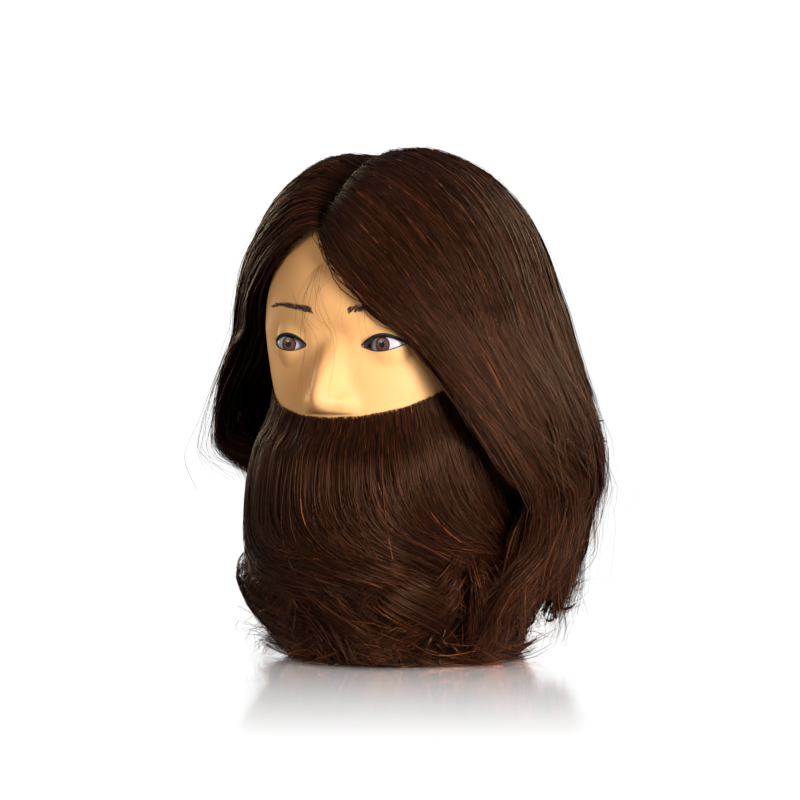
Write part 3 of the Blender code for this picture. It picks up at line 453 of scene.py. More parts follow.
# --------------------------------------------------------------- mesh makers
def mesh_object(name, vertices, faces, materials, normals=None, face_material=None, smooth=True):
    """Mesh object from arrays. faces is an (n, 4) or (n, 3) array of vertex numbers."""
    faces = np.asarray(faces, dtype=np.int32)
    mesh = bpy.data.meshes.new(name)
    mesh.vertices.add(len(vertices))
    mesh.vertices.foreach_set("co", np.asarray(vertices, dtype=np.float32).ravel())
    mesh.loops.add(faces.size)
    mesh.loops.foreach_set("vertex_index", faces.ravel())
    mesh.polygons.add(len(faces))
    mesh.polygons.foreach_set("loop_start", np.arange(0, faces.size, faces.shape[1], dtype=np.int32))
    mesh.polygons.foreach_set("use_smooth", np.full(len(faces), smooth))
    if face_material is not None:
        mesh.polygons.foreach_set("material_index", np.asarray(face_material, dtype=np.int32))
    mesh.update(calc_edges=True)
    if normals is not None:
        mesh.normals_split_custom_set_from_vertices(np.asarray(normals, dtype=np.float32))
    for each in materials:
        mesh.materials.append(each)
    made = bpy.data.objects.new(name, mesh)
    bpy.context.scene.collection.objects.link(made)
    return made


def grid_quads(rows, columns, wrap=False):
    row = np.arange(rows - 1)[:, None]
    column = np.arange(columns if wrap else columns - 1)[None, :]
    after = (column + 1) % columns
    low, high = row * columns, (row + 1) * columns
    return np.stack([low + column, low + after, high + after, high + column], axis=-1).reshape(-1, 4)


# --------------------------------------------------------------------- strands
def strand_mesh(name, points, outward, widths, shades, materials, rng):
    """One flat tapering ribbon a strand, with normals rounded so that it shades like a thread."""
    count, steps = points.shape[:2]
    along = unit(np.gradient(points, axis=1))
    side = unit(np.cross(along, outward))
    facing = np.cross(side, along)
    twist = rng.uniform(-STRAND_TWIST, STRAND_TWIST, (count, 1, 1))
    twisted = side * np.cos(twist) + facing * np.sin(twist)
    facing = facing * np.cos(twist) - side * np.sin(twist)
    side = twisted
    half = 0.5 * widths[..., None]
    corners = np.stack([points - side * half, points + side * half], axis=2).reshape(-1, 3)
    normals = np.stack([facing - side * STRAND_ROUNDING, facing + side * STRAND_ROUNDING], axis=2)
    base = (np.arange(count) * steps * 2)[:, None] + (np.arange(steps - 1) * 2)[None, :]
    faces = np.stack([base, base + 1, base + 3, base + 2], axis=-1).reshape(-1, 4)
    return mesh_object(name, corners, faces, materials, unit(normals).reshape(-1, 3), shades[:, :-1].ravel())


# ------------------------------------------------------------ scalp hair flow
HAIR_DOME = smooth_table(HAIR_DOME_POINTS)
HANGING_HAIR = smooth_table(HANGING_HAIR_POINTS)
LEFT_EDGE = smooth_table(LEFT_EDGE_POINTS)
BEARD_PROFILE = smooth_table(BEARD_PROFILE_POINTS)


def plan_stretch(azimuth, height):
    """How much longer than wide the hair's plan is, as a factor on its radius."""
    sideways = np.interp(height, HAIR_PLAN[:, 0], HAIR_PLAN[:, 1])
    lengthways = np.interp(height, HAIR_PLAN[:, 0], HAIR_PLAN[:, 2])
    return 1.0 / np.hypot(np.sin(azimuth) / sideways, np.cos(azimuth) / lengthways)


def hair_lean(direction):
    """The hair stands higher on the head's right side than on its left."""
    elevation = np.degrees(np.arcsin(np.clip(direction[..., 2], -1.0, 1.0)))
    sideways = direction[..., 0] / np.maximum(np.hypot(direction[..., 0], direction[..., 1]), 1e-6)
    return 1.0 - np.interp(elevation, HAIR_LEAN[:, 0], HAIR_LEAN[:, 1]) * sideways


def hair_distance(direction):
    """Distance from the skull centre to the outside of the hair, above that centre."""
    elevation = np.arcsin(np.clip(direction[..., 2], -1.0, 1.0))
    azimuth = np.arctan2(direction[..., 0], -direction[..., 1])
    plain = np.interp(np.degrees(elevation), HAIR_DOME[:, 0], HAIR_DOME[:, 1])
    stretch = plan_stretch(azimuth, SKULL_CENTRE_Z + plain * direction[..., 2])
    return plain * (1.0 + np.cos(elevation) ** 2 * (stretch - 1.0))


def hanging_radius(azimuth, height, column):
    """Outer (column 1) or inner (column 2) radius of the hanging hair."""
    return np.interp(height, HANGING_HAIR[:, 0], HANGING_HAIR[:, column]) * plan_stretch(azimuth, height)


def root_direction(side, u):
    """Where a lock leaves the head: along the parting, then round the crown."""
    along = np.clip(u / PARTING_SHARE, 0.0, 1.0)
    round_crown = np.clip((u - PARTING_SHARE) / (1.0 - PARTING_SHARE), 0.0, 1.0)
    y = PARTING_FRONT_Y + (PARTING_BACK_Y - PARTING_FRONT_Y) * along + CROWN_SETBACK * round_crown
    x = PARTING_X - PARTING_X * round_crown - side * ROOT_OVERLAP
    rise = np.sqrt(1.0 - (x / ROOT_HALF_WIDTH) ** 2 - (y / ROOT_HALF_DEPTH) ** 2)
    return unit(np.stack([x, y, SKULL_SIZES[2] * rise], axis=-1))


def hang_azimuth(side, u):
    """Azimuth where a lock passes the level of the skull centre."""
    start = math.radians(LEFT_HANG_DEG if side > 0 else RIGHT_HANG_DEG)
    return start + (math.pi - start) * u


def drape_direction(side, u):
    """Direction that a lock bends over on its way down."""
    start = math.radians(LEFT_DRAPE_DEG if side > 0 else RIGHT_DRAPE_DEG)
    elevations = LEFT_DRAPE_ELEVATIONS if side > 0 else RIGHT_DRAPE_ELEVATIONS
    elevation = np.radians(np.interp(u, DRAPE_SHARES, elevations))
    azimuth = start + (math.pi - start) * np.clip(u, 0, 1) ** 0.85
    return from_angles(side * azimuth, elevation)


def hanging_azimuth_drift(side, u, height):
    """Locks near the face swing back as they fall."""
    if side > 0:
        swing = np.radians(np.interp(height, LEFT_EDGE[:, 0], LEFT_EDGE[:, 1])) - hang_azimuth(side, 0.0)
    else:
        fall = np.clip(SKULL_CENTRE_Z - height, 0.0, None) / RIGHT_SWING_FALL
        swing = math.radians(RIGHT_SWING_DEG) * (1.0 - np.exp(-fall ** 1.6))
    return swing * np.clip(1.0 - u / SWING_END, 0.0, 1.0) ** 1.3


def tip_height(side, u):
    """Height of the longest tips; the hair on the head's right side is shorter in front."""
    return np.interp(u, TIP_SHARES, LEFT_TIPS if side > 0 else RIGHT_TIPS)


def nape_tip(side, u):
    """Height of the under layer's tips, which reach the table only behind the neck."""
    return np.interp(u, NAPE_TIP_SHARES, LEFT_NAPE_TIPS if side > 0 else RIGHT_NAPE_TIPS)


def skin_radius(azimuth, height):
    """Distance from the axis to the skin with its features."""
    low = np.clip(height, 0.0, SKULL_CENTRE_Z)
    points = with_features(around_axis(azimuth, section_radius(azimuth, low), low))
    return np.hypot(points[..., 0], points[..., 1])


def draped_radius(azimuth, height, highest=SKULL_CENTRE_Z):
    """Radius at which hair passes in front of the skin here and just above."""
    nearby = [skin_radius(azimuth, np.clip(height + offset, 0.0, highest)) for offset in DRAPE_OFFSETS]
    return np.max(nearby, axis=0) + SCALP_GAP


def edge_thinning(u):
    return EDGE_THICKNESS_SHARE + (1.0 - EDGE_THICKNESS_SHARE) * smooth_step(u / EDGE_SHARE)


def hair_on_skull(side, u, v, depth):
    """Point on the way from the root, v = 0, to the level of the skull centre, v = 1."""
    hang = hang_azimuth(side, u)
    start, middle = root_direction(side, u), drape_direction(side, u)
    end = from_angles(side * hang, 0.0 * hang)
    v1 = v[..., None]
    direction = unit((1 - v1) ** 2 * start + 2 * v1 * (1 - v1) * middle + v1 ** 2 * end)
    bare = direction * skull_distance(direction, SCALP_GAP)[..., None]
    bare[..., 2] += SKULL_CENTRE_Z
    featured = with_features(bare)
    featured[..., 2] -= SKULL_CENTRE_Z
    inner = np.linalg.norm(featured, axis=-1)
    full = hair_distance(direction) * hair_lean(direction)
    outer = inner + np.maximum(full - inner, THINNEST_HAIR) * edge_thinning(u)
    points = direction * (inner + (outer - inner) * depth)[..., None]
    points[..., 2] += SKULL_CENTRE_Z
    return points


def hair_hanging(side, u, v, depth, tips):
    """Point below the skull centre's level, v = 0, down to the tips, v = 1."""
    height = np.maximum(SKULL_CENTRE_Z + (tips - SKULL_CENTRE_Z) * v, FLOOR_CLEARANCE)
    azimuth = side * (hang_azimuth(side, u) + hanging_azimuth_drift(side, u, height))
    hollow = hanging_radius(azimuth, height, 2) * smooth_step(v / INNER_SHARE)
    inner = np.maximum(draped_radius(azimuth, height), hollow)
    fading = 1.0 - smooth_step((SKULL_CENTRE_Z - height) / LEAN_FADE)
    fullness = 1.0 - HAIR_LEAN[0, 1] * np.sin(azimuth) * fading
    fullness = fullness - LOW_NARROWING * smooth_step((LOW_HEIGHT - height) / LOW_DROP)
    if side < 0:
        tuck = smooth_step((TUCK_HEIGHT - height) / TUCK_DROP) * np.clip(1.0 - u / TUCK_END, 0.0, 1.0)
        fullness = fullness * (1.0 - TUCK_SHARE * tuck)
    outer = np.maximum(hanging_radius(azimuth, height, 1) * fullness, inner + THINNEST_HAIR)
    leaving = np.exp(-v / LEAVING_SHARE) * (1.0 - edge_thinning(u))
    return around_axis(azimuth, inner + (outer - inner) * (1.0 - leaving) * depth, height)


def hair_path(side, u, travel, depth, tips):
    """travel runs 0 to 1 over the skull and 1 to 2 down the hanging length."""
    over = hair_on_skull(side, u, np.clip(travel, 0.0, 1.0), depth)
    below = hair_hanging(side, u, np.clip(travel - 1.0, 0.0, 1.3), depth, tips)
    return np.where(travel[..., None] < 1.0, over, below)


def outward_of(points):
    """Direction away from the head's middle."""
    away = points.copy()
    away[..., 2] = np.maximum(points[..., 2] - SKULL_CENTRE_Z, 0.0)
    return unit(away)


def lay_on_floor(points, sideways):
    """Hair that would pass through the table lies along it instead."""
    below = np.maximum(FLOOR_CLEARANCE - points[..., 2], 0.0)
    points = points + sideways * below[..., None]
    points[..., 2] = np.maximum(points[..., 2], FLOOR_CLEARANCE)
    return points


def curl_tail(points, tail, across, outward, radius, turn, lean):
    """Bend the end of each strand round an arc. tail runs 0 to 1 along the bent part."""
    angle = turn * tail
    bend = across * np.cos(lean)[..., None] + outward * np.sin(lean)[..., None]
    points = points + bend * (radius * (1.0 - np.cos(angle)))[..., None]
    points[..., 2] += radius * (angle - np.sin(angle))
    return points


def strand_roots(layer, count, rng):
    """Depth of each strand in the hair, 0 to 1, and how far along the path it is rooted."""
    if layer == "outer":
        depth = np.clip(1.0 - np.abs(rng.normal(0.0, 0.22, count)), 0.12, 1.0)
        at_parting = rng.uniform(0.0, 0.03, count)
        return depth, np.where(depth > 0.7, at_parting, (1.0 - depth) * rng.uniform(0.5, 1.1, count))
    if layer == "under":
        depth = rng.uniform(0.25, 0.62, count)
        return depth, (1.0 - depth) * rng.uniform(0.5, 1.1, count)
    depth = rng.uniform(0.20, 0.80, count)
    return depth, rng.uniform(1.35, 1.60, count)


def nearest_lock(locks, u_root, depth):
    """Shape of the lock that each strand belongs to, as columns."""
    sideways = np.abs(u_root[:, None] - locks["u"]) * LOCK_FLATNESS
    which = np.argmin(sideways + np.abs(depth[:, None] - locks["depth"]), axis=1)
    return {key: value[which][:, None] for key, value in locks.items()}


def group_waves(u_root, travel, rng):
    """Slow sideways wave that neighbouring strands share."""
    count = len(u_root)
    group = np.floor(u_root * GROUPS + rng.normal(0, 0.5, count)).astype(int) % GROUPS
    height = rng.normal(0, GROUP_WAVE, GROUPS)[group][:, None] * smooth_step(travel / 0.5)
    phase = rng.uniform(0, 2 * math.pi, GROUPS)[group][:, None]
    return height * np.sin(phase + travel * math.pi * rng.uniform(1.2, 2.6, GROUPS)[group][:, None])


def curled_ends(points, share, lock, across, outward, rng):
    """Curl the last part of each strand the way its lock curls, and lay it on the table if it gets there."""
    tail = np.clip((share - TAIL_START) / (1.0 - TAIL_START), 0.0, 1.0)
    turn = lock["turn"] * rng.uniform(0.7, 1.15, (len(points), 1))
    radius = lock["radius"] * rng.uniform(0.85, 1.2, (len(points), 1))
    lean = (lock["lean"] + rng.normal(0, 0.22, (len(points), 1))) * np.ones_like(tail)
    points = curl_tail(points, tail, across, outward, radius, turn, lean)
    return lay_on_floor(points, across * np.sign(np.cos(lean))[..., None])


def scalp_strands(side, low, high, count, rng, locks, layer):
    """Strand points of one section, with the share of the way along each."""
    u_root = rng.uniform(low, high, count)
    depth, root = strand_roots(layer, count, rng)
    lock = nearest_lock(locks, u_root, depth)
    end = 2.0 - SHORTEST_TIP[layer] * lock["length"] - np.abs(rng.normal(0, TIP_SCATTER, (count, 1)))
    end = end - SHORTENING[layer]
    share = np.linspace(0.0, 1.0, HAIR_STEPS)[None, :] * np.ones((count, 1))
    travel = root[:, None] + (end - root[:, None]) * share
    gather = GATHERING[layer] * smooth_step((travel - 1.0) / 0.95)
    u = np.clip(u_root[:, None] + (lock["u"] - u_root[:, None]) * gather, 0.0, BACK_OVERLAP)
    level = np.clip(depth[:, None] + (lock["depth"] - depth[:, None]) * gather, 0.05, 1.02)
    rising = smooth_step((travel - root[:, None]) / 0.12 + 0.02)
    nape_tips = nape_tip(side, u) + NAPE_TIP_RANGE * lock["length"]
    points = hair_path(side, u, travel, level * rising, nape_tips if layer == "nape" else tip_height(side, u))
    outward = outward_of(points)
    across = unit(np.cross(unit(np.gradient(points, axis=1)), outward))
    loose = smooth_step((travel - 1.0) / 0.9)
    wave = lock["wave"] * loose * np.sin(lock["turns"] * travel * math.pi + lock["phase"])
    swell = lock["wave"] * 0.5 * loose * np.sin(2.3 * travel * math.pi + 1.7 * lock["phase"])
    straying = rng.exponential(LOOSENESS, (count, 1)) ** 1.5 * (1.0 + 1.5 * np.exp(-u_root[:, None] / 0.03))
    straying = np.minimum(0.6 + straying, MOST_STRAYING[layer])
    wave = wave + group_waves(u_root, travel, rng)
    drift = rng.normal(0, 1.0, (count, 1)) * straying * (0.00035 + 0.0016 * loose)
    ripple = straying * rng.normal(0, 0.00042, (count, 1))
    ripple = ripple * np.sin(travel * 9 + rng.uniform(0, 6, (count, 1)))
    sideways = wave + drift + ripple
    points = points + across * sideways[..., None] + outward * (swell + 0.4 * np.abs(drift))[..., None]
    return curled_ends(points, share, lock, across, outward, rng), share


def make_locks(side, low, high, count, rng):
    """Shared shape of the strands that gather into each lock. lean is the direction its end curls to."""
    if side > 0:
        one_way, other_way = rng.uniform(-0.9, 0.3), rng.uniform(-2.4, -1.2)
        lean = rng.choice([one_way, other_way], count) + rng.normal(0, 0.5, count)
    else:
        lean = rng.uniform(1.25 * math.pi, 1.5 * math.pi, count)
    return {
        "u": rng.uniform(low, high, count),
        "depth": np.clip(rng.normal(0.95, 0.16, count), 0.35, 1.02),
        "length": rng.uniform(0.0, 1.0, count) ** (1.5 if side > 0 else 3.0),
        "wave": rng.uniform(*LOCK_WAVES, count) * (1.0 if side > 0 else RIGHT_WAVE_SHARE),
        "turns": rng.uniform(*LOCK_TURNS, count),
        "phase": rng.uniform(0, 2 * math.pi, count),
        "turn": rng.uniform(*CURL_TURNS, count),
        "radius": rng.uniform(*CURL_RADII, count),
        "lean": lean,
    }


def make_wisps(rng):
    """Thin curly ends below the left hair."""
    locks = make_locks(1, *WISP_RANGE, WISPS, rng)
    locks["length"] = rng.uniform(*WISP_LENGTHS, WISPS)
    locks["wave"] = rng.uniform(*WISP_WAVES, WISPS)
    locks["turn"] = rng.uniform(*WISP_TURNS, WISPS)
    locks["radius"] = rng.uniform(*WISP_RADII, WISPS)
    return locks


def shade_numbers(rng, count, share, lighter):
    """Shade of each step of each strand: a lighter stretch somewhere along it, which is a painted glint of
    highlight, and lighter tips, partly the hair's own copper ends and partly a painted glow of light through
    them.
    """
    column = (count, 1)
    base = rng.choice(len(SHADE_SHARES), count, p=SHADE_SHARES)[:, None]
    base = base + (rng.uniform(0, 1, column) < lighter)
    # A stretch along each strand is a painted glint of highlight, some shades lighter.
    near_glint = np.abs(share - rng.uniform(0, 1, column)) < rng.uniform(0.03, 0.16, column)
    glint = near_glint * rng.choice(len(GLINT_SHARES), column, p=GLINT_SHARES)
    # Lighter tips: partly the hair's own copper ends, partly a painted glow of light through them.
    copper_and_glow_tip = (share > rng.uniform(0.72, 1.1, column)).astype(int)
    lightest_copper_and_glow_tip = share > rng.uniform(0.86, 1.3, column)
    return np.clip(base + glint + copper_and_glow_tip + lightest_copper_and_glow_tip, 0, len(HAIR_SHADES) - 1)


def strand_widths(rng, count, share, width):
    """Each strand thickens from its root and thins to its tip."""
    taper = np.where(share < 0.06, 0.6 + 0.4 * share / 0.06, 1.0) * (1.0 - 0.75 * share ** 3)
    return width * rng.uniform(0.7, 1.25, (count, 1)) * taper


def hair_piece(name, nodes, fine, wide, shades, rng):
    """One object from fine strands and wide ones under them, which are all in the darkest shade as painted
    shade deep in the hair; each is (points, widths, shade numbers).
    """
    points, widths, numbers = (np.concatenate(pair) for pair in zip(fine, wide))
    made = strand_mesh(name, points, outward_of(points), widths, numbers, shades, rng)
    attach(made, "root")
    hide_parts(*nodes)


def dressed(points, share, rng, width, lighter):
    """Strands with their widths and shades."""
    count = len(points)
    return points, strand_widths(rng, count, share, width), shade_numbers(rng, count, share, lighter)


def painted_shade_locks(points, share):
    """Wide ribbons under the fine strands, all in the darkest shade: hair that is there, drawn as painted
    shade deep inside the hair, closing the gaps between the strands.
    """
    widths = PAINTED_SHADE_LOCK_WIDTH * smooth_step(share * 8 + 0.05) * (1.0 - 0.9 * share ** 3)
    return points, widths, np.zeros(share.shape, dtype=int)


def build_scalp_section(side, side_name, section, shades, rng, thin):
    """Fine strands of one section over its under layer; the left side also ends in wisps."""
    name, low, high = section
    locks = make_locks(side, low, high, LOCKS_A_SECTION, rng)
    points, share = scalp_strands(side, low, high, int(STRANDS_A_SECTION * thin), rng, locks, "outer")
    deep, deep_share = scalp_strands(side, low, high, UNDER_STRANDS_A_SECTION, rng, locks, "under")
    if side > 0 and name == "side":
        count = int(WISP_STRANDS * thin)
        wisps, wisp_share = scalp_strands(side, *WISP_RANGE, count, rng, make_wisps(rng), "outer")
        points, share = np.concatenate([points, wisps]), np.concatenate([share, wisp_share])
    lighter = LEFT_LIGHTER if side > 0 else RIGHT_LIGHTER
    fine = dressed(points, share, rng, STRAND_WIDTH / math.sqrt(thin), lighter)
    nodes = [f"hair_{side_name}_{name}"]
    wide = painted_shade_locks(deep, deep_share)
    hair_piece(f"{side_name}_{name}_hair", nodes, fine, wide, shades, rng)


def build_nape_hair(side, side_name, shades, rng, thin):
    """Under layer that hangs round the neck."""
    start = LEFT_NAPE_START if side > 0 else RIGHT_NAPE_START
    locks = make_locks(side, start, 1.0, LOCKS_A_SECTION, rng)
    points, share = scalp_strands(side, start, 1.0, int(NAPE_STRANDS * thin), rng, locks, "nape")
    deep, deep_share = scalp_strands(side, start, 1.0, UNDER_STRANDS_A_SECTION, rng, locks, "nape")
    deep[..., :2] *= UNDER_SHRINK
    lighter = LEFT_LIGHTER if side > 0 else RIGHT_LIGHTER
    fine = dressed(points, share, rng, STRAND_WIDTH / math.sqrt(thin), lighter)
    nodes = [f"nape_hair_{side_name}"]
    wide = painted_shade_locks(deep, deep_share)
    hair_piece(f"{side_name}_nape_strands", nodes, fine, wide, shades, rng)


def build_scalp_hair(shades, rng, thin):
    for side, side_name in ((1, "left"), (-1, "right")):
        for section in HAIR_SECTIONS:
            build_scalp_section(side, side_name, section, shades, rng, thin)
        build_nape_hair(side, side_name, shades, rng, thin)


# ---------------------------------------------------------------------- beard
def beard_line(azimuth):
    """Height of the beard's upper edge."""
    return np.interp(np.degrees(np.abs(azimuth)), BEARD_LINE[:, 0], BEARD_LINE[:, 1])


def hair_cover(azimuth):
    """How far the long hair lies over the beard: 0 in front, 1 at the sides."""
    left = smooth_step((azimuth - math.radians(LEFT_COVER_DEG)) / math.radians(LEFT_COVER_WIDTH_DEG))
    right = smooth_step((-azimuth - math.radians(RIGHT_COVER_DEG)) / math.radians(RIGHT_COVER_WIDTH_DEG))
    return np.maximum(left, right)


def beard_radius(azimuth, height, depth):
    """Distance from the axis; depth runs from 0 at the skin to 1 on the outside."""
    skin = draped_radius(azimuth, height, beard_line(azimuth))
    free = np.interp(height, *BEARD_PROFILE.T) * (1 - BEARD_NARROWING * np.sin(azimuth) ** 2)
    cover = hair_cover(azimuth)
    outer = (1 - cover) * free + cover * np.minimum(free, hanging_radius(azimuth, height, 2))
    return skin + np.maximum(outer - skin, THINNEST_BEARD) * depth


def beard_fall(root_azimuth, root_height, length, depth, long_ones, rng):
    """Follow each strand down from its root; it swings to the head's left as it falls."""
    count = len(root_azimuth)
    degrees = np.degrees(root_azimuth)
    lock = np.round(degrees / BEARD_LOCK_DEG + rng.normal(0, 0.35, count))
    lock_chance = np.modf(np.abs(np.sin(lock * 12.99)) * 43.7)[0]
    lock_phase = 2.0 * math.pi * lock_chance
    length = length * (0.85 + 0.75 * np.modf(lock_chance * 7.3)[0])
    start_angle = np.radians(np.interp(degrees, *START_SLOPES.T)) + rng.normal(0, 0.03, count)
    end_angle = np.radians(np.interp(degrees, *END_SLOPES.T)) + rng.normal(0, 0.08, count)
    end_angle = np.where(long_ones, end_angle * rng.uniform(0.15, 0.6, count), end_angle)
    bend_height = np.interp(degrees, *BEND_HEIGHTS.T) + rng.normal(0, 0.004, count)
    azimuth, height = root_azimuth.copy(), root_height.copy()
    step = length / (BEARD_STEPS - 1)
    path = []
    for number in range(BEARD_STEPS):
        share = number / (BEARD_STEPS - 1)
        rising = smooth_step(step * number / 0.022 + 0.01)
        tuck = 1.0 - 0.35 * smooth_step((share - 0.8) / 0.2)
        radius = beard_radius(azimuth, height, depth * rising * tuck)
        wave = BEARD_WAVE * smooth_step((share - 0.45) / 0.55)
        radius = radius + 0.7 * wave * np.sin(lock_phase * 2.0 + 6.0 * share)
        level = np.maximum(height + wave * np.sin(lock_phase + 7.0 * share), FLOOR_CLEARANCE + 0.001)
        path.append(around_axis(azimuth, radius, level))
        bend = smooth_step((bend_height - height) / (bend_height - SWEEP_END_HEIGHT))
        angle = start_angle + (end_angle - start_angle) * bend
        azimuth = azimuth + np.sin(angle) * step / radius
        height = height - np.cos(angle) * step
    return np.stack(path, axis=1)


def beard_strands(low, high, count, rng):
    """Strands rooted along the beard's upper edge and, fewer, on the skin below it."""
    azimuth = np.radians(rng.uniform(low, high, count))
    at_edge = rng.uniform(0, 1, count) < 0.55
    rows = np.where(at_edge, np.abs(rng.normal(0, 0.0035, count)), rng.uniform(0, 0.055, count))
    height = beard_line(azimuth) - rows
    depth = np.clip(1.0 - rows / 0.07 - np.abs(rng.normal(0, 0.12, count)), 0.15, 1.0)
    length = (height - 0.040) * rng.uniform(1.05, 1.60, count)
    long_ones = rng.uniform(0, 1, count) < LONG_BEARD_SHARE
    length = np.where(long_ones, (height - 0.004) * rng.uniform(1.0, 1.35, count), length)
    return beard_fall(azimuth, height, length, depth, long_ones, rng)


def throat_strands(low, high, count, rng):
    """Short wavy locks under the beard that end in curls lying on the table."""
    lock_azimuth = np.radians(rng.uniform(low, high, THROAT_LOCKS))
    which = rng.integers(0, THROAT_LOCKS, count)
    spread = rng.normal(0, 0.050, count)
    drop = rng.uniform(0.070, 0.098, count)
    length = rng.uniform(0.070, 0.128, THROAT_LOCKS)[which] * rng.uniform(0.88, 1.1, count)
    fan_out = rng.uniform(-0.35, 0.75, THROAT_LOCKS)[which] + rng.normal(0, 0.20, count)
    depth = rng.normal(0.76, 0.26, THROAT_LOCKS)[which] + rng.normal(0, 0.10, count)
    depth = np.clip(depth, 0.2, 1.08)
    sway = rng.uniform(0.14, 0.36, THROAT_LOCKS)[which]
    turns = rng.uniform(4.5, 8.5, THROAT_LOCKS)[which]
    phase = rng.uniform(0, 2 * math.pi, THROAT_LOCKS)[which]
    way = rng.uniform(-0.7, 1.2, THROAT_LOCKS)[which] + rng.normal(0, 0.25, count)
    lie = rng.gamma(1.6, 0.0034, count) + FLOOR_CLEARANCE
    step = length / (BEARD_STEPS - 1)
    path = []
    for number in range(BEARD_STEPS):
        share = number / (BEARD_STEPS - 1)
        closing = 1.0 - 0.55 * smooth_step(share * 1.5) + 1.2 * max(share - 0.75, 0)
        azimuth = lock_azimuth[which] + spread * closing
        azimuth = azimuth + sway * share * np.sin(phase + turns * share)
        laid = LAID_LENGTH * np.tanh(np.clip(lie - drop, 0.0, None) / LAID_LENGTH)
        azimuth = azimuth + way * laid / 0.075
        curl = LAID_CURL * np.sin(phase + laid / LAID_CURL) * np.minimum(laid / 0.012, 1.0)
        level = np.maximum(np.maximum(drop, lie) + curl, FLOOR_CLEARANCE)
        reach = np.interp(level, *THROAT_PROFILE.T) * (1.0 - THROAT_NARROWING * np.sin(azimuth) ** 2)
        inner = skin_radius(azimuth, level) + SCALP_GAP
        radius = inner + np.maximum(reach - inner, 0.0) * depth * smooth_step(step * number / 0.045)
        radius = radius + 0.008 * share * np.sin(1.7 * phase + 6.0 * share) + fan_out * laid
        path.append(around_axis(azimuth, np.maximum(radius, inner), level))
        drop = drop - step * (0.97 - 0.25 * np.abs(np.sin(phase + turns * share)) * share)
    return np.stack(path, axis=1)


def build_beard_layer(sections, strands, lighter, shades, rng, thin):
    """The beard's outer sections, or the hair under it from below the jaw down to the table."""
    for name, low, high, full_count in sections:
        count = int(full_count * thin)
        share = np.linspace(0, 1, BEARD_STEPS)[None, :] * np.ones((count, 1))
        width = BEARD_STRAND_WIDTH / math.sqrt(thin)
        fine = dressed(strands(low, high, count, rng), share, rng, width, lighter)
        deep = strands(low, high, UNDER_STRANDS_A_BEARD, rng)
        deep[..., :2] *= UNDER_SHRINK
        nodes = [name, "moustache"] if name == "beard_chin" else [name]
        wide = painted_shade_locks(deep, share[:UNDER_STRANDS_A_BEARD])
        hair_piece(name + "_strands", nodes, fine, wide, shades, rng)


# ----------------------------------------------------------------------- skin
def skin_grid():
    """Azimuths and levels of the skin's rings, close together round the eyes and nose."""
    azimuth_steps = np.interp(np.linspace(0, 1, 150), [0, 0.62, 1.0], [0, 44, 180])
    azimuths = np.radians(np.concatenate([-azimuth_steps[:0:-1], azimuth_steps[:-1]]))
    elevations = np.radians(np.linspace(88, 1.2, 60))
    heights = np.concatenate([
        np.linspace(0.190, 0.140, 110, endpoint=False),
        np.linspace(0.140, 0.084, 30, endpoint=False),
        np.linspace(0.084, 0.058, 18, endpoint=False),
        np.linspace(0.058, 0.0, 12),
    ])
    return azimuths, elevations, heights


def lid_edges(across):
    """Heights of the upper and lower lid's edge; across runs from -1 at the inner corner to 1."""
    bow = np.clip(1.0 - across ** 2, 0.0, 1.0)
    middle = EYE_HEIGHT + LID_TILT * across
    return middle + LID_TOP * bow, middle - LID_BOTTOM * bow


def build_skin(skin_material, liner_material):
    azimuths, elevations, heights = skin_grid()
    rings = []
    for elevation in elevations:
        direction = from_angles(azimuths, np.full_like(azimuths, elevation))
        points = direction * skull_distance(direction)[:, None]
        points[:, 2] += SKULL_CENTRE_Z
        rings.append(points)
    for height in heights:
        rings.append(around_axis(azimuths, section_radius(azimuths, height), height))
    plain = np.array(rings)
    points = with_features(plain)
    rows, columns = points.shape[:2]
    flat = points.reshape(-1, 3)
    faces = grid_quads(rows, columns, wrap=True)
    front = flat[:, 1] < -0.05
    across = (np.abs(flat[:, 0]) - EYE_HALF_SPACING) / LID_HALF_WIDTH
    top, bottom = lid_edges(across)
    inside = (flat[:, 2] < top) & (flat[:, 2] > bottom) & front
    faces = faces[~np.all(inside[faces], axis=1)]
    nearer_top = flat[inside, 2] > EYE_HEIGHT + LID_TILT * across[inside]
    snapped = np.where(nearer_top, top[inside], bottom[inside])
    flat[inside] = face_point(flat[inside, 0], snapped, 0.0)
    made = mesh_object("vinyl_skin", flat, faces, [skin_material])
    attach(made, "root")
    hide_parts("head_skin")
    build_lid_rims(liner_material)


def build_lid_rims(liner_material):
    """Dark rim from the lids' edge back to the eyeball."""
    across = np.linspace(-1, 1, 41)
    around = np.concatenate([across, across[-2:0:-1]])
    upper = np.arange(len(around)) < len(across)
    top, bottom = lid_edges(around)
    edge = np.where(upper, top, bottom)
    band = np.where(upper, LINER_TOP, -LINER_BOTTOM) * (0.40 + 0.60 * (1.0 - around ** 2))
    for side, name in ((1, "left"), (-1, "right")):
        x = around * LID_HALF_WIDTH
        rings = [
            face_point(side * (EYE_HALF_SPACING + x * LINER_STRETCH), edge + band, 0.00012),
            face_point(side * (EYE_HALF_SPACING + x), edge, 0.00018),
        ]
        for radius in (LID_RADIUS - 0.0004, GLOBE_RADIUS - 0.0004):
            y = EYE_CENTRE_Y - np.sqrt(radius ** 2 - x ** 2 - (edge - EYE_HEIGHT) ** 2)
            rings.append(np.stack([side * (EYE_HALF_SPACING + x), y, edge], axis=-1))
        rings = np.array(rings)
        faces = grid_quads(4, len(x), wrap=True)
        made = mesh_object(name + "_lid_rim", rings.reshape(-1, 3), faces, [liner_material])
        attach(made, "root")


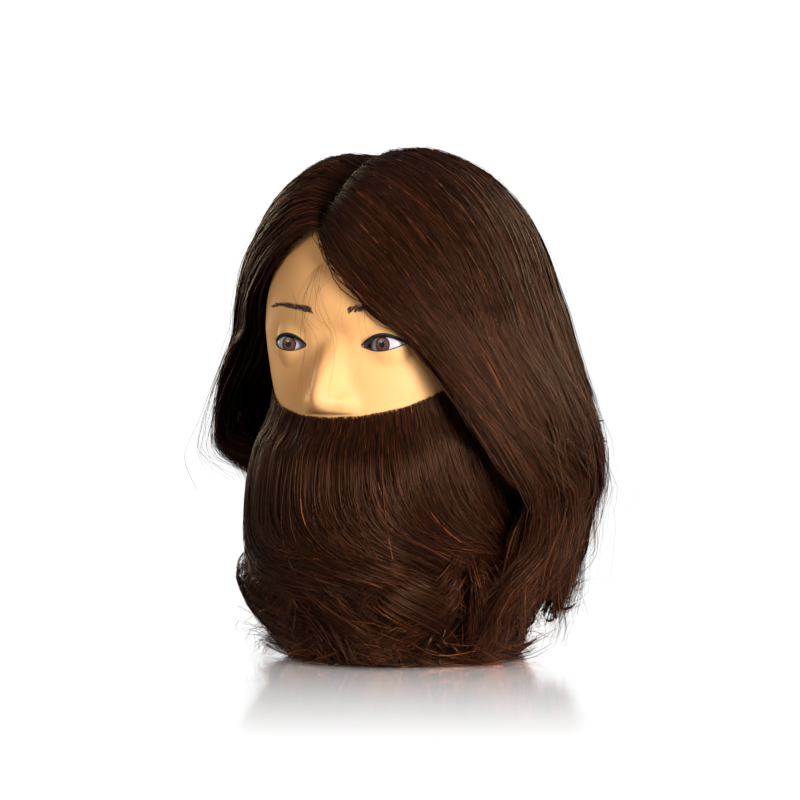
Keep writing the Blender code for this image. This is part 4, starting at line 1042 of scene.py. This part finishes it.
# ----------------------------------------------------------------------- eyes
def dome(radius, start_deg, end_deg, side, steps=48, rings=14):
    """Part of a sphere round the gaze axis, as points; angles are measured from the gaze."""
    angles = np.radians(np.linspace(start_deg, end_deg, rings))
    turns = np.linspace(0, 2 * math.pi, steps, endpoint=False)
    out = []
    for angle in angles:
        ring = radius * math.sin(angle)
        out.append(np.stack([
            side * EYE_HALF_SPACING + ring * np.cos(turns),
            np.full(steps, EYE_CENTRE_Y - radius * math.cos(angle)),
            EYE_HEIGHT + ring * np.sin(turns),
        ], axis=-1))
    return np.array(out)


def build_eyes(looks):
    for side, name in ((1, "left"), (-1, "right")):
        parts = (
            ("white", IRIS_ANGLE, 150.0, "eye_globe", "eye_white"),
            ("limbus", IRIS_ANGLE - 3.0, IRIS_ANGLE, None, "iris_brown"),
            ("iris", PUPIL_ANGLE, IRIS_ANGLE - 3.0, "iris", "iris_brown"),
            ("pupil", 0.0, PUPIL_ANGLE, "pupil", "pupil_black"),
        )
        for part, start, end, node, slot in parts:
            points = dome(GLOBE_RADIUS, start, end, side)
            faces = grid_quads(*points.shape[:2], wrap=True)
            made = mesh_object(f"{name}_{part}_surface", points.reshape(-1, 3), faces, [looks[part]])
            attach(made, "root")
            if part == "pupil":
                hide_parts(f"{name}_pupil", f"{name}_cornea")
            elif node:
                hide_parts(f"{name}_{node}")


def face_point(x, z, lift):
    """Place on the front of the skin, lifted off it."""
    low = np.minimum(z, SKULL_CENTRE_Z)
    half_width, front, squareness = (
        np.interp(low, HEAD_SECTIONS[:, 0], HEAD_SECTIONS[:, column]) for column in (1, 2, 4)
    )
    height = np.maximum(z - SKULL_CENTRE_Z, 0.0)
    share = np.abs(x / half_width) ** squareness + (height / SKULL_SIZES[2]) ** squareness
    plain = -front * np.clip(1.0 - share, 0.0, 1.0) ** (1.0 / squareness)
    points = with_features(np.stack([x, plain, z], axis=-1))
    points[..., 1] -= lift
    return points


def build_brows(shades, rng):
    places = np.array(BROW_CURVE)
    for side, name in ((1, "left"), (-1, "right")):
        count, steps = BROW_HAIRS, 5
        along = np.linspace(0, 1, count) ** 1.1 * 4
        x0 = np.interp(along, range(5), places[:, 0])
        half = np.interp(along, range(5), BROW_HALF_HEIGHTS)
        z0 = np.interp(along, range(5), places[:, 1]) + half * rng.uniform(-1, 1, count)
        lean = np.interp(along, [0, 2, 4], [1.0, 0.55, 0.10]) + rng.normal(0, 0.06, count)
        length = np.interp(along, [0, 3, 4], [0.0042, 0.0040, 0.0026]) * rng.uniform(0.8, 1.15, count)
        share = np.linspace(0, 1, steps)[None, :]
        x = x0[:, None] + (length * np.cos(lean))[:, None] * share
        z = z0[:, None] + (length * np.sin(lean))[:, None] * (share - 0.35 * share ** 2)
        points = face_point(side * (EYE_HALF_SPACING + x), EYE_HEIGHT + z, 0.0002 + 0.0006 * share)
        outward = np.broadcast_to(np.array([0.0, -1.0, 0.0]), points.shape)
        widths = BROW_HAIR_WIDTH * (1 - 0.7 * share) * np.ones((count, 1))
        numbers = np.zeros((count, steps), dtype=int)
        made = strand_mesh(name + "_brow", points, outward, widths, numbers, shades, rng)
        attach(made, "root")
        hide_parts(name + "_eyebrow")


def build_lashes(shades, rng):
    for side, name in ((1, "left"), (-1, "right")):
        count, steps = LASHES, 5
        across = rng.uniform(-0.80, 0.85, count)
        x = across * LID_HALF_WIDTH
        top, _ = lid_edges(across)
        share = np.linspace(0, 1, steps)[None, :]
        length = rng.uniform(0.0014, 0.0026, count)[:, None]
        root = face_point(side * (EYE_HALF_SPACING + x), top, 0.0002)
        fan = (side * across * 0.5)[:, None]
        points = root[:, None, :] + np.stack([
            length * share * fan,
            -length * share * 0.8 + 0 * fan,
            length * (0.15 * share + 0.55 * share ** 2) + 0 * fan,
        ], axis=-1)
        outward = np.broadcast_to(np.array([0.0, 0.0, 1.0]), points.shape)
        widths = LASH_WIDTH * (1 - 0.7 * share) * np.ones((count, 1))
        numbers = np.zeros((count, steps), dtype=int)
        made = strand_mesh(name + "_lashes", points, outward, widths, numbers, shades, rng)
        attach(made, "root")
        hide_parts(name + "_upper_lashes")


def face_strays(rng):
    """Fine single hairs that have fallen over the forehead, the nose and the cheeks."""
    share = np.linspace(0, 1, STRAY_STEPS)[None, :]
    start = np.clip(rng.normal(-0.006, 0.016, FACE_STRAYS), -0.040, 0.036)[:, None]
    lean = rng.normal(0.004, 0.014, FACE_STRAYS)[:, None]
    bow = rng.normal(0, 0.006, FACE_STRAYS)[:, None]
    x = start + lean * share + bow * np.sin(math.pi * share) + 0.0015 * np.sin(share * 9 + start * 300)
    z = 0.232 - np.abs(start) * 0.6 - (0.035 + rng.uniform(0, 0.045, FACE_STRAYS)[:, None]) * share
    return face_point(x, z, 0.0008 + 0.0022 * np.sin(math.pi * share) ** 2)


def loose_strays(rng):
    """Flyaway hairs standing off the outline."""
    per_side = []
    for side in (1, -1):
        count = LOOSE_STRAYS // 2
        locks = make_locks(side, 0.0, 1.0, 40, rng)
        points, share = scalp_strands(side, 0.0, 1.0, count, rng, locks, "outer")
        pick = rng.uniform(0, 1, (count, 1))
        length = rng.uniform(0.18, 0.5, (count, 1))
        local = np.linspace(0, 1, STRAY_STEPS)[None, :]
        where = (pick * (1 - length) + length * local) * (HAIR_STEPS - 1)
        low = np.floor(where).astype(int).clip(0, HAIR_STEPS - 2)
        part = (where - low)[..., None]
        rows = np.arange(count)[:, None]
        line = points[rows, low] * (1 - part) + points[rows, low + 1] * part
        lift = rng.exponential(0.0028, (count, 1)) * local ** 1.3 + 0.0004
        sway = rng.normal(0, 0.004, (count, 1)) * local ** 2
        outward = outward_of(line)
        across = unit(np.cross(unit(np.gradient(line, axis=1)), outward))
        line = line + outward * lift[..., None] + across * sway[..., None]
        line[..., 2] = np.maximum(line[..., 2], FLOOR_CLEARANCE)
        per_side.append(line)
    return np.concatenate(per_side)


def dress_base(frame):
    """Foam inside the head and the black plastic clamp socket keep their solids and get truer materials."""
    looks = {
        "foam_core": material("white_foam", (0.82, 0.81, 0.78), 0.90, Specular_IOR_Level=0.20),
        "neck_socket": material("black_socket_plastic", (0.020, 0.020, 0.022), 0.42),
        "base_plate": material("black_plate_plastic", (0.030, 0.030, 0.032), 0.55),
    }
    for name, look in looks.items():
        frame["nodes"][name].material_slots[0].material = look


def build_strays(shades, rng):
    strays = (
        ("face_stray_hairs", face_strays(rng), FACE_STRAY_WIDTH),
        ("flyaway_hairs", loose_strays(rng), FLYAWAY_WIDTH),
    )
    for name, points, width in strays:
        share = np.linspace(0, 1, STRAY_STEPS)[None, :] * np.ones((len(points), 1))
        widths = strand_widths(rng, len(points), share, width)
        numbers = rng.choice([1, 2, 3], len(points))[:, None] * np.ones_like(share, dtype=int)
        made = strand_mesh(name, points, outward_of(points), widths, numbers, shades, rng)
        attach(made, "root")


# --------------------------------------------------------------------- studio
def add_light(name, energy, place, size, colour):
    """Soft lamp that looks at the head. place is an azimuth and elevation in degrees and a distance."""
    light = bpy.data.lights.new(name, "AREA")
    light.energy = energy
    light.size = size
    light.color = colour
    made = bpy.data.objects.new(name, light)
    where = around_head(*place)
    made.location = where
    made.rotation_euler = look_along(np.array(LIGHT_AIM) - np.array(where))
    bpy.context.scene.collection.objects.link(made)


def look_along(direction):
    """Rotation of a camera or light, which looks along its own -Z."""
    return Vector(direction).to_track_quat("-Z", "Y").to_euler()


def around_head(azimuth_deg, elevation_deg, distance):
    """Place seen from the head in that direction, at that distance."""
    a, e = math.radians(azimuth_deg), math.radians(elevation_deg)
    return (
        distance * math.sin(a) * math.cos(e),
        -distance * math.cos(a) * math.cos(e),
        LIGHT_BASE_HEIGHT + distance * math.sin(e),
    )


def build_camera():
    camera = bpy.data.cameras.new("camera")
    camera.sensor_width = SENSOR
    camera.lens = SENSOR * CAMERA_DISTANCE / FRAME_WIDTH
    made = bpy.data.objects.new("camera", camera)
    a, e = math.radians(CAMERA_AZIMUTH_DEG), math.radians(CAMERA_ELEVATION_DEG)
    right = np.array([math.cos(a), math.sin(a), 0.0])
    back = np.array([math.sin(a) * math.cos(e), -math.cos(a) * math.cos(e), math.sin(e)])
    aim = right * AIM_SIDE + np.array([0.0, 0.0, AIM_HEIGHT])
    made.location = aim + back * CAMERA_DISTANCE
    made.rotation_euler = look_along(-back)
    bpy.context.scene.collection.objects.link(made)
    bpy.context.scene.camera = made


def build_studio():
    scene = bpy.context.scene
    scene.view_settings.view_transform = "Standard"
    world = bpy.data.worlds.new("studio")
    scene.world = world
    world.use_nodes = True
    world.node_tree.nodes["Background"].inputs["Color"].default_value = (1, 1, 1, 1)
    world.node_tree.nodes["Background"].inputs["Strength"].default_value = WORLD_STRENGTH
    build_white_surround()
    for light in LIGHTS:
        add_light(*light)


def emission(name, colour, strength):
    made = bpy.data.materials.new(name)
    made.use_nodes = True
    tree = made.node_tree
    tree.nodes.clear()
    glow = tree.nodes.new("ShaderNodeEmission")
    glow.inputs["Color"].default_value = (*colour, 1)
    glow.inputs["Strength"].default_value = strength
    out = tree.nodes.new("ShaderNodeOutputMaterial")
    tree.links.new(glow.outputs[0], out.inputs["Surface"])
    return made


def floor_material():
    """White table that glows: a faint painted contact shadow, which ambient occlusion darkens into the glow
    near the head, and a reflection that fades away from the head.
    """
    made = bpy.data.materials.new("white_table")
    made.use_nodes = True
    tree = made.node_tree
    tree.nodes.clear()
    place = tree.nodes.new("ShaderNodeTexCoord")
    distance = tree.nodes.new("ShaderNodeVectorMath")
    distance.operation = "LENGTH"
    reflecting = tree.nodes.new("ShaderNodeMapRange")
    glowing = tree.nodes.new("ShaderNodeMapRange")
    for ramp, near, far in (
        (reflecting, FLOOR_WHITE * REFLECTING_SHARE / WORLD_STRENGTH, 0.0),
        (glowing, FLOOR_WHITE * (1.0 - REFLECTING_SHARE), FLOOR_WHITE),
    ):
        ramp.inputs["From Min"].default_value = REFLECTION_FADE_START
        ramp.inputs["From Max"].default_value = REFLECTION_FADE_END
        ramp.inputs["To Min"].default_value = near
        ramp.inputs["To Max"].default_value = far
        tree.links.new(distance.outputs["Value"], ramp.inputs["Value"])
    # Ambient occlusion darkens the table's glow by the head: a painted contact shadow.
    contact = tree.nodes.new("ShaderNodeAmbientOcclusion")
    contact.inputs["Distance"].default_value = CONTACT_REACH
    contact.samples = 8
    glow = tree.nodes.new("ShaderNodeEmission")
    shine = tree.nodes.new("ShaderNodeBsdfGlossy")
    shine.inputs["Roughness"].default_value = TABLE_ROUGHNESS
    both = tree.nodes.new("ShaderNodeAddShader")
    out = tree.nodes.new("ShaderNodeOutputMaterial")
    tree.links.new(place.outputs["Object"], distance.inputs[0])
    tree.links.new(contact.outputs["Color"], glow.inputs["Color"])
    tree.links.new(glowing.outputs["Result"], glow.inputs["Strength"])
    tree.links.new(reflecting.outputs["Result"], shine.inputs["Color"])
    tree.links.new(glow.outputs[0], both.inputs[0])
    tree.links.new(shine.outputs[0], both.inputs[1])
    tree.links.new(both.outputs[0], out.inputs["Surface"])
    return made


def only_seen_by_camera(made):
    for kind in ("diffuse", "glossy", "transmission", "volume_scatter", "shadow"):
        setattr(made, "visible_" + kind, False)


def build_white_surround():
    bpy.ops.mesh.primitive_uv_sphere_add(radius=SURROUND_RADIUS, segments=48, ring_count=24)
    surround = bpy.context.active_object
    surround.name = "white_surround"
    surround.data.materials.append(emission("white_glow", (1, 1, 1), 1.05))
    bpy.ops.mesh.primitive_circle_add(radius=TABLE_RADIUS, vertices=96, fill_type="NGON")
    floor = bpy.context.active_object
    floor.name = "table"
    floor.data.materials.append(floor_material())
    for made in (surround, floor):
        only_seen_by_camera(made)


def main():
    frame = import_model()
    thin = 1.0
    rng = np.random.default_rng(7)
    shades = [
        material(name, colour, 0.40, Specular_IOR_Level=0.32, Specular_Tint=(1.0, 0.50, 0.28, 1.0))
        for name, colour in HAIR_SHADES
    ]
    brow = [material("brow_hair", (0.035, 0.018, 0.012), 0.5)]
    lash = [material("lash_hair", (0.010, 0.008, 0.007), 0.7, Specular_IOR_Level=0.08)]
    liner = material("lid_liner", (0.040, 0.028, 0.024), 0.7, Specular_IOR_Level=0.15)
    skin = material(
        "skin_vinyl", (0.86, 0.46, 0.18), 0.55,
        Subsurface_Weight=0.35, Subsurface_Scale=0.008, Specular_IOR_Level=0.25,
    )
    looks = {
        "white": material("eye_white", (0.56, 0.54, 0.60), 0.25, Coat_Weight=0.2),
        "limbus": material("iris_ring", (0.020, 0.010, 0.009), 0.30),
        "iris": material("iris_brown", (0.110, 0.046, 0.036), 0.30),
        "pupil": material("pupil_black", (0.002, 0.002, 0.002), 0.06, Specular_IOR_Level=1.0),
    }
    dress_base(frame)
    build_skin(skin, liner)
    build_eyes(looks)
    build_brows(brow, rng)
    build_lashes(lash, rng)
    build_scalp_hair(shades, rng, thin)
    build_beard_layer(BEARD_SECTIONS, beard_strands, BEARD_LIGHTER, shades, rng, thin)
    build_beard_layer(THROAT_SECTIONS, throat_strands, THROAT_LIGHTER, shades, rng, thin)
    build_strays(shades, rng)
    build_camera()
    build_studio()


main()
